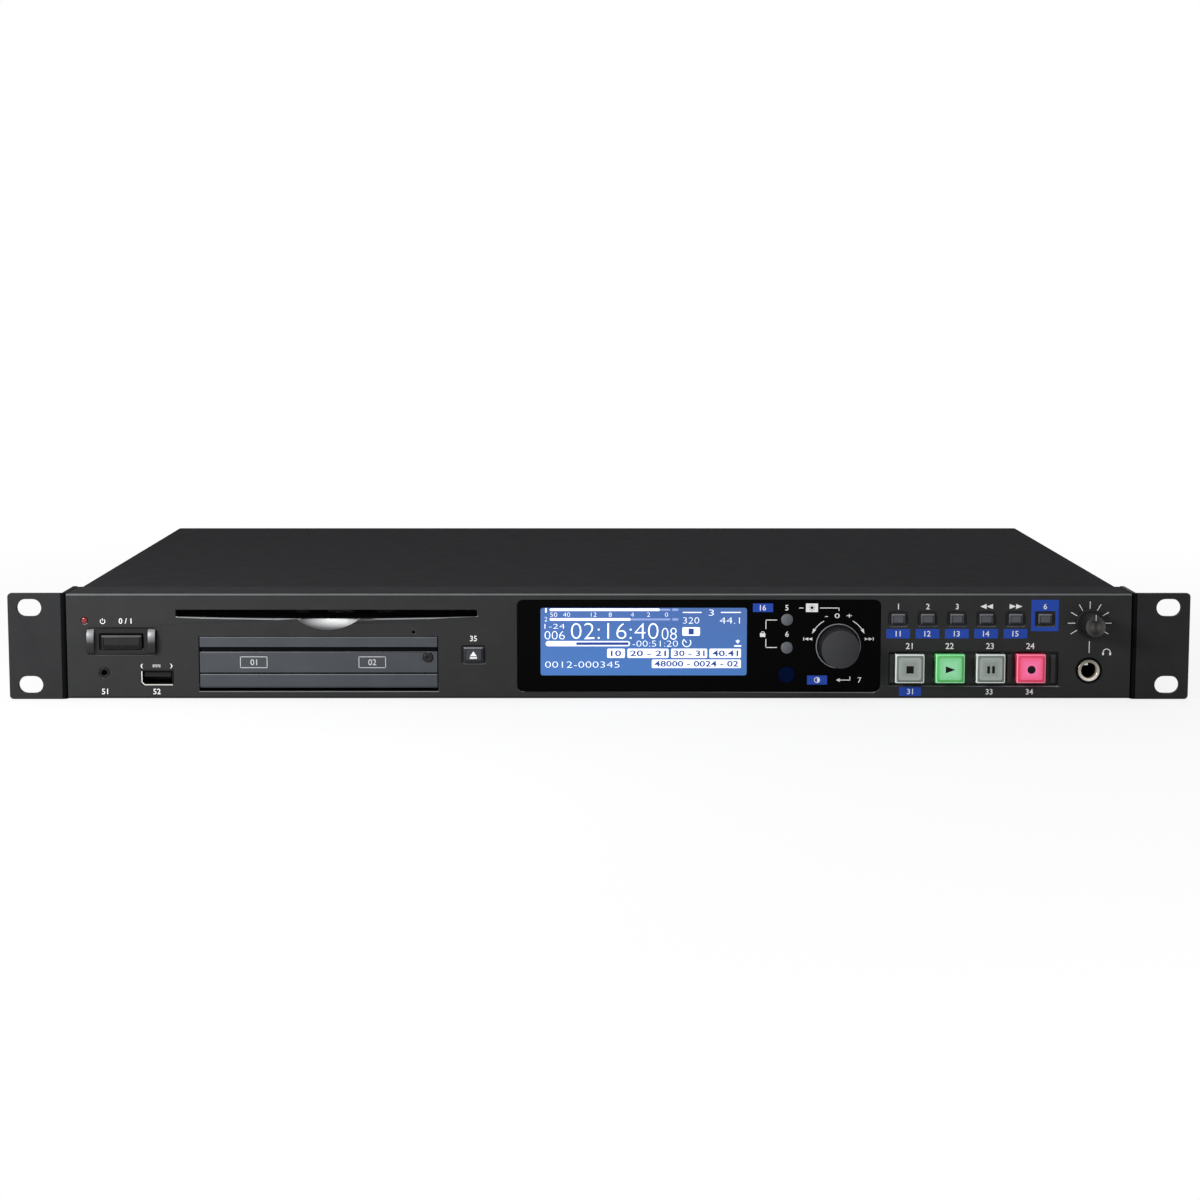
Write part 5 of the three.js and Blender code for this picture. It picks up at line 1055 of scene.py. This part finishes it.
# Small keys: a sign above and a blue box below each, and a blue field round the last
KEY_SIGN_UP = 5.16
KEY_TAG_DOWN = -6.04
KEY_TAG = (9.7, 3.88)
KEY_ARROWS = {"rewind_button": LEFT, "forward_button": RIGHT}
for count, key_node in enumerate(SMALL_KEYS[:-1]):
    sign_place = beside(key_node, 0, KEY_SIGN_UP)
    if key_node in KEY_ARROWS:
        white.double_arrow(sign_place, 2.6, 2.1, KEY_ARROWS[key_node])
    else:
        white.figures(str(count + 1), sign_place)
    tag(beside(key_node, 0, KEY_TAG_DOWN), KEY_TAG, str(count + 11))


def field(left, right, low, high):
    """One part of the blue field, between these sides."""
    blue.box(((left + right) / 2, (low + high) / 2), (right - left, high - low))


FIELD_LEFT = 176.45
FIELD_RIGHT = 187.66
FIELD_LOW = 28.1
FIELD_HIGH = 40.98
KEY_FRAME = (8.35, 6.5)
frame_left, frame_low = beside("shift_button", -KEY_FRAME[0] / 2, -KEY_FRAME[1] / 2)
frame_right, frame_high = beside("shift_button", KEY_FRAME[0] / 2, KEY_FRAME[1] / 2)
field(FIELD_LEFT, FIELD_RIGHT, frame_high, FIELD_HIGH)
field(FIELD_LEFT, FIELD_RIGHT, FIELD_LOW, frame_low)
field(FIELD_LEFT, frame_left, frame_low, frame_high)
field(frame_right, FIELD_RIGHT, frame_low, frame_high)
boxed.figures("6", beside("shift_button", 0, KEY_SIGN_UP))

# Large buttons
for count, node in enumerate(LARGE_CAPS):
    white.figures(str(count + 21), beside(node, 0, 8.94), 2.5)
tag(beside("stop_button", 0.6, -9.87), (9.07, 3.73), "31")
white.figures("33", beside("pause_button", 0, -9.98))
white.figures("34", beside("record_button", 0, -9.98))

# Phones: scale, line and a headphone sign
TICK_START = 5.9
TICK_END = 8.9
PHONES = beside("phones_knob")
HEADPHONES = (207.6, 19.3)
for turn in range(-30, 211, 30):
    white.line(along(PHONES, turn, TICK_START), along(PHONES, turn, TICK_END))
white.line((200.42, 19.1), (200.42, 23.9))
white.arc(HEADPHONES, 1.45, 0, 180, 0.34)
white.pill(shifted(HEADPHONES, -1.45, -0.5), (0.75, 1.3))
white.pill(shifted(HEADPHONES, 1.45, -0.5), (0.75, 1.3))

# Pane: box, key numbers, lamp sign, lines to the jog knob
white.face = PANE_FRONT
blue.face = PANE_FRONT
boxed.face = PANE_FRONT - INK_DEPTH / 2
tag((66.95, 37.75), (8.19, 3.49), "16")
SUN = (86.94, 37.75)
sun_box = Ink(PANE_FRONT)
sun_box.box(SUN, (4.93, 3.49))
sun = Ink(PANE_FRONT - INK_DEPTH / 2)
sun.disc(SUN, 0.6, 20)
for turn in range(0, 360, 45):
    sun.line(along(SUN, turn, 0.85), along(SUN, turn, 1.35), 0.2)
JOG = beside("jog_knob")
JOG_SCALE = 11.8
white.figures("5", (76.7, 37.75))
white.figures("6", (76.86, 26.9))
white.box((82.56, 37.64), (1.84, LINE))
white.line((90.21, 37.64), (97.97, 37.64))
white.line((97.97, 37.8), (97.97, 36.5))
white.figures("-  0  +", (97.8, 34.45), 2.0, 11)
white.arc(JOG, JOG_SCALE, 120, 145)
white.arc(JOG, JOG_SCALE, 60, 35)
white.line((68.22, 29.0), (68.22, 32.86))
white.line((68.06, 32.7), (72.75, 32.7))
white.line((68.22, 24.87), (68.22, 21.2))
white.line((68.06, 21.37), (72.8, 21.37))
white.arrow(along(JOG, 150, JOG_SCALE), 2.2, 1.3, 240)
white.arrow(along(JOG, 30, JOG_SCALE), 2.2, 1.3, -60)
white.double_arrow((85.6, 24.88), 1.6, 1.3, LEFT, True)
white.double_arrow((110.2, 24.88), 1.6, 1.3, RIGHT, True)

# Padlock between the bracket lines
LOCK = (66.9, 26.5)
white.box(LOCK, (2.2, 1.5))
white.arc(shifted(LOCK, 0, 0.7), 0.7, 0, 180, 0.26)

# Contrast box and the enter sign
CONTRAST = (89.31, 7.92)
ENTER = (100.5, 7.9)
blue.box(CONTRAST, (8.22, 3.73))
boxed.arc(CONTRAST, 1.1, 0, 360, 0.24, 24)
cut(boxed.disc(CONTRAST, 1.0, 24), (CONTRAST[0] * MM, 0, 0), (1, 0, 0), use_fill=True, clear_inner=True)
white.line(shifted(ENTER, -2.2), shifted(ENTER, 2.4))
white.line(shifted(ENTER, 2.24), shifted(ENTER, 2.24, 1.5))
white.arrow(shifted(ENTER, -2.6), 1.5, 1.5, LEFT)
white.figures("7", shifted(ENTER, 6.2))

white.done("white_print", WHITE_INK, "front_bezel")
blue.done("blue_print", BLUE_INK, "front_bezel")
boxed.done("box_print", WHITE_INK, "front_bezel")
sun_box.done("sun_box_print", WHITE_INK, "display_window")
sun.done("sun_print", BLACK_INK, "display_window")

# Painted shade: a near black ring round the headphone jack; and the bright contact inside
surround = Ink(PANEL_FRONT)
surround.arc(beside("phones_jack"), 5, 0, 360, 0.9, 40)
surround.done("jack_painted_shade_ring", PAINTED_SHADE_BLACK, "front_bezel")
spring = Ink(JACK_FRONT + 4.5 * MM, 1.2 * MM)
spring.box(beside("phones_jack", -0.9, 2.6), (1.9, 1.5))
spring.done("jack_spring", SOCKET_RIM, "phones_jack")

# Marks that move with their pieces
SYMBOL_DOWN = -0.3
for node in LARGE_CAPS:
    sign = Ink(front("stop_button"))
    sign_place = beside(node, 0, SYMBOL_DOWN)
    if node == "stop_button":
        sign.box(sign_place, (3, 3))
    elif node == "play_button":
        sign.arrow(sign_place, 3.9, 2.9, RIGHT)
    elif node == "pause_button":
        sign.box(shifted(sign_place, -1), (1.15, 3))
        sign.box(shifted(sign_place, 1), (1.15, 3))
    else:
        sign.disc(sign_place, 1.65, 32)
    sign.done(node.replace("button", "print"), BLACK_INK, node)
pointer = Ink(PHONES_FRONT)
pointer.line(beside("phones_knob", 0, 2.6), beside("phones_knob", 0, 5.1), 0.35)
pointer.done("phones_pointer", GREY_INK, "phones_knob")
eject_sign = Ink(front("eject_button"))
eject_sign.arrow(beside("eject_button", 0, 0.45), 2, 2.9, UP)
eject_sign.box(beside("eject_button", 0, -1.25), (2.9, 0.7))
eject_sign.done("eject_print", WHITE_INK, "eject_button")
door_signs = Ink(DOOR_FRONT)
for place, words in (((-141.16, 15.27), "01"), ((-92.68, 15.27), "02")):
    door_signs.frame(place, (11.17, 4.76), 0.28)
    door_signs.figures(words, place, 2.5)
door_signs.done("door_print", GREY_INK, "sd_door")


# Display: a lit plate with a layout of figures, bars and boxes, placed by its own dots

DISPLAY_LEFT = -23.82
DISPLAY_RIGHT = 60.44
DISPLAY_TOP = 37.7
DISPLAY_LOW = 9.85
DISPLAY_WEIGHT = -0.018
BOX_WEIGHT = 0.02
DOT = (DISPLAY_RIGHT - DISPLAY_LEFT) / 205
DOT_DOWN = (DISPLAY_TOP - DISPLAY_LOW) / 65
GLASS_FRONT = PANE_FRONT - INK_DEPTH + INK_SUNK

lit = Ink(GLASS_FRONT)
dim = Ink(GLASS_FRONT)
on_lit = Ink(GLASS_FRONT - INK_DEPTH / 2)


def dots(across, down):
    """A place on the display, in its dots from the upper left."""
    return DISPLAY_LEFT + across * DOT, DISPLAY_TOP - down * DOT_DOWN


def span(start, end, down, tall):
    """The middle and the size of what reaches from dot to dot across."""
    return dots((start + end) / 2, down), ((end - start) * DOT, tall * DOT_DOWN)


def show(ink, words, middle, down, across, tall):
    """Figures on the display, fitted to this many dots."""
    weight = BOX_WEIGHT if ink is on_lit else DISPLAY_WEIGHT
    ink.figures(words, dots(middle, down), tall * DOT_DOWN, across * DOT, weight)


glass = Ink(PANE_FRONT)
plate = glass.box(((DISPLAY_LEFT + DISPLAY_RIGHT) / 2, (DISPLAY_TOP + DISPLAY_LOW) / 2),
                  (DISPLAY_RIGHT - DISPLAY_LEFT, DISPLAY_TOP - DISPLAY_LOW))
round_uprights(plate, 1, 5)
glass.done("display_plate", DISPLAY, "lcd_module")

# Two level bars, the bar of the running time, and the lines beside the header
for down, full in ((1.8, 118.4), (11.1, 89.6)):
    lit.pill(*span(9, full, down, 2.5))
    dim.pill(*span(full, 129, down, 1.9))
    dim.pill(*span(130.5, 137, down, 2.4))
lit.pill(*span(5, 89, 34.4, 5))
on_lit.box(*span(35.5, 87.5, 34.4, 2.6))
lit.pill(*span(141.2, 160, 4.4, 1))
lit.pill(*span(179, 199, 4.4, 1))

# Level scale, track, running time, time left, rates: middle, down, width and height in dots
SHOWN = (
    ("50", 13.1, 6.5, 7, 4), ("40", 25.9, 6.5, 7, 4), ("12", 52.9, 6.5, 5.5, 4), ("8", 69.3, 6.5, 3, 4),
    ("4", 91.2, 6.5, 3, 4), ("2", 107.3, 6.5, 3, 4), ("0", 125.1, 6.5, 3, 4), ("1", 5.4, 2.4, 1.6, 4.2),
    ("2", 5.4, 10.9, 2.6, 4.2), ("1-24", 14, 17.7, 20, 4.6), ("006", 14, 26.3, 20, 8),
    ("02:16:40", 73.7, 22.3, 87, 15.5), ("08", 127.9, 24.9, 15, 11.5), ("-00:51:20", 114, 34.4, 45, 5.8),
    ("3", 169.6, 4.6, 5, 5.8), ("320", 149.6, 12.1, 16, 6), ("44.1", 188, 12.1, 20, 6),
    ("0012-000345", 41.5, 54.6, 74, 6),
)
for shown in SHOWN:
    show(lit, *shown)

# Round timer and a small tray sign
TIMER = dots(145.3, 33.4)
lit.arc(TIMER, 4.1 * DOT, 125, 400, 0.9 * DOT, 20)
lit.line(TIMER, shifted(TIMER, -2.2 * DOT, 2.4 * DOT), 0.8 * DOT)
lit.arrow(dots(196, 33), 3.2 * DOT, 4.6 * DOT, DOWN)
lit.line(dots(196, 33), dots(196, 30.6), 1.2 * DOT)
lit.box(*span(192.5, 199.5, 36.6, 1.4))

# Boxes with dark figures: left, right, down and height in dots
BOXES = (
    (140.9, 158.4, 22.7, 8.2, "1"), (66.2, 83.8, 43.7, 8.9, "10"), (86.4, 127.3, 43.7, 8.9, "20 - 21"),
    (129.8, 165.7, 43.7, 8.9, "30 - 31"), (167.9, 199.3, 43.7, 8.9, "40.41"),
    (110.7, 199.3, 53.8, 8.2, "48000 - 0024 - 02"),
)
for start, end, down, tall, words in BOXES:
    round_uprights(lit.box(*span(start, end, down, tall)), 1.2 * DOT, 3)
    show(on_lit, words, (start + end) / 2, down, min(end - start - 5, len(words) * 5.2), 5.6)

lit.done("display_figures", DISPLAY_WHITE, "lcd_module")
dim.done("display_dim_bars", DISPLAY_SHADE, "lcd_module")
on_lit.done("display_dark_figures", DISPLAY_INK, "lcd_module")

# Painted highlight: bright metal bars on the left and lower edges only of the small socket's rim
RIM = 0.4
RIM_CORNER = 1.1
USB_LOW, USB_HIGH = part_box("usb_port")
rim_corner = (USB_LOW.x / MM + RIM / 2, USB_LOW.z / MM + RIM / 2)
upper = shifted(rim_corner, 0, RIM_CORNER)
lower = shifted(rim_corner, RIM_CORNER)
usb_rim_painted_highlight = Ink(USB_LOW.y, 0.15 * MM)
usb_rim_painted_highlight.line(upper, (upper[0], USB_HIGH.z / MM - 0.3), RIM)
usb_rim_painted_highlight.line(upper, lower, RIM)
usb_rim_painted_highlight.line(lower, (USB_HIGH.x / MM - 0.2, lower[1]), RIM)
usb_rim_painted_highlight.done("usb_rim_painted_highlight", SOCKET_RIM, "usb_port")


# Small screws: a domed head with a cross recess, modelled once and copied

HEAD_RADIUS = 2.8 * MM
HEAD_HEIGHT = 1.2 * MM
RECESS_WIDTH = 0.55 * MM
RECESS_LENGTH = 2.9 * MM


def screw_head():
    """One head that faces the front, with its seat at the origin."""
    profile = [(HEAD_RADIUS, 0), (HEAD_RADIUS, -0.45 * MM), (HEAD_RADIUS * 0.9, -0.85 * MM),
               (HEAD_RADIUS * 0.62, -1.1 * MM), (HEAD_RADIUS * 0.3, -HEAD_HEIGHT)]
    head = turned(0, 0, profile, 24)
    for across, up in ((RECESS_LENGTH, RECESS_WIDTH), (RECESS_WIDTH, RECESS_LENGTH)):
        cutter = block((0, -HEAD_HEIGHT, 0), (across, HEAD_HEIGHT, up))
        wear(head, "BOOLEAN", operation="DIFFERENCE", object=cutter, solver="EXACT")
        bpy.data.objects.remove(cutter)
    return smoothed(paint(head, SCREW))


FIRST_HEAD = screw_head()


def screws(name, places, facing):
    """Copies of the screw head, turned about the upright axis to face outwards."""
    heads = []
    for place in places:
        head = FIRST_HEAD.copy()
        head.data = FIRST_HEAD.data.copy()
        bpy.context.scene.collection.objects.link(head)
        head.rotation_euler = (0, 0, facing)
        head.location = place
        heads.append(settle(head))
    rides(joined(name, heads), "case")


SIDE_SCREW_Z = 6.5 * MM
SIDE_SCREW_FROM_END = 30 * MM
LIP_SCREW_PITCH = 190 * MM
LIP_SCREW_Z = COVER_HIGH.z - 3.25 * MM
SEAT_SUNK = 0.05 * MM
EAR_SCREW_Z = (9 * MM, 34.7 * MM)
EAR_SCREW_Y = PANEL_FRONT + 15 * MM
EAR_PLATE_OUTER = 219.4 * MM
FLANGE_SCREWS = ((-9.6 * MM, 12 * MM), (9.6 * MM, -12 * MM))
XLR_NODES = ("xlr_input_left", "xlr_input_right", "xlr_output_left", "xlr_output_right")
XLR_FACE = CASE_BACK + 0.5 * MM

side_rows = (COVER_LOW.y + SIDE_SCREW_FROM_END, COVER_HIGH.y - SIDE_SCREW_FROM_END)
for side, way in (("left", -1), ("right", 1)):
    outer = (COVER_LOW.x if way < 0 else COVER_HIGH.x) - way * SEAT_SUNK
    screws("cover_screws_" + side, [(outer, y, SIDE_SCREW_Z) for y in side_rows], way * pi / 2)
lip_rows = (-LIP_SCREW_PITCH, 0, LIP_SCREW_PITCH)
screws("cover_screws_back", [(x, CASE_BACK - SEAT_SUNK, LIP_SCREW_Z) for x in lip_rows], pi)
for side, way in (("left", -1), ("right", 1)):
    outer = way * (EAR_PLATE_OUTER - SEAT_SUNK)
    screws("ear_screws_" + side, [(outer, EAR_SCREW_Y, z) for z in EAR_SCREW_Z], way * pi / 2)
flange_places = []
for node in XLR_NODES:
    middle = centre(node)
    flange_places += [(middle.x + right, XLR_FACE - SEAT_SUNK, middle.z + up) for right, up in FLANGE_SCREWS]
screws("connector_screws", flange_places, pi)
bpy.data.objects.remove(FIRST_HEAD)
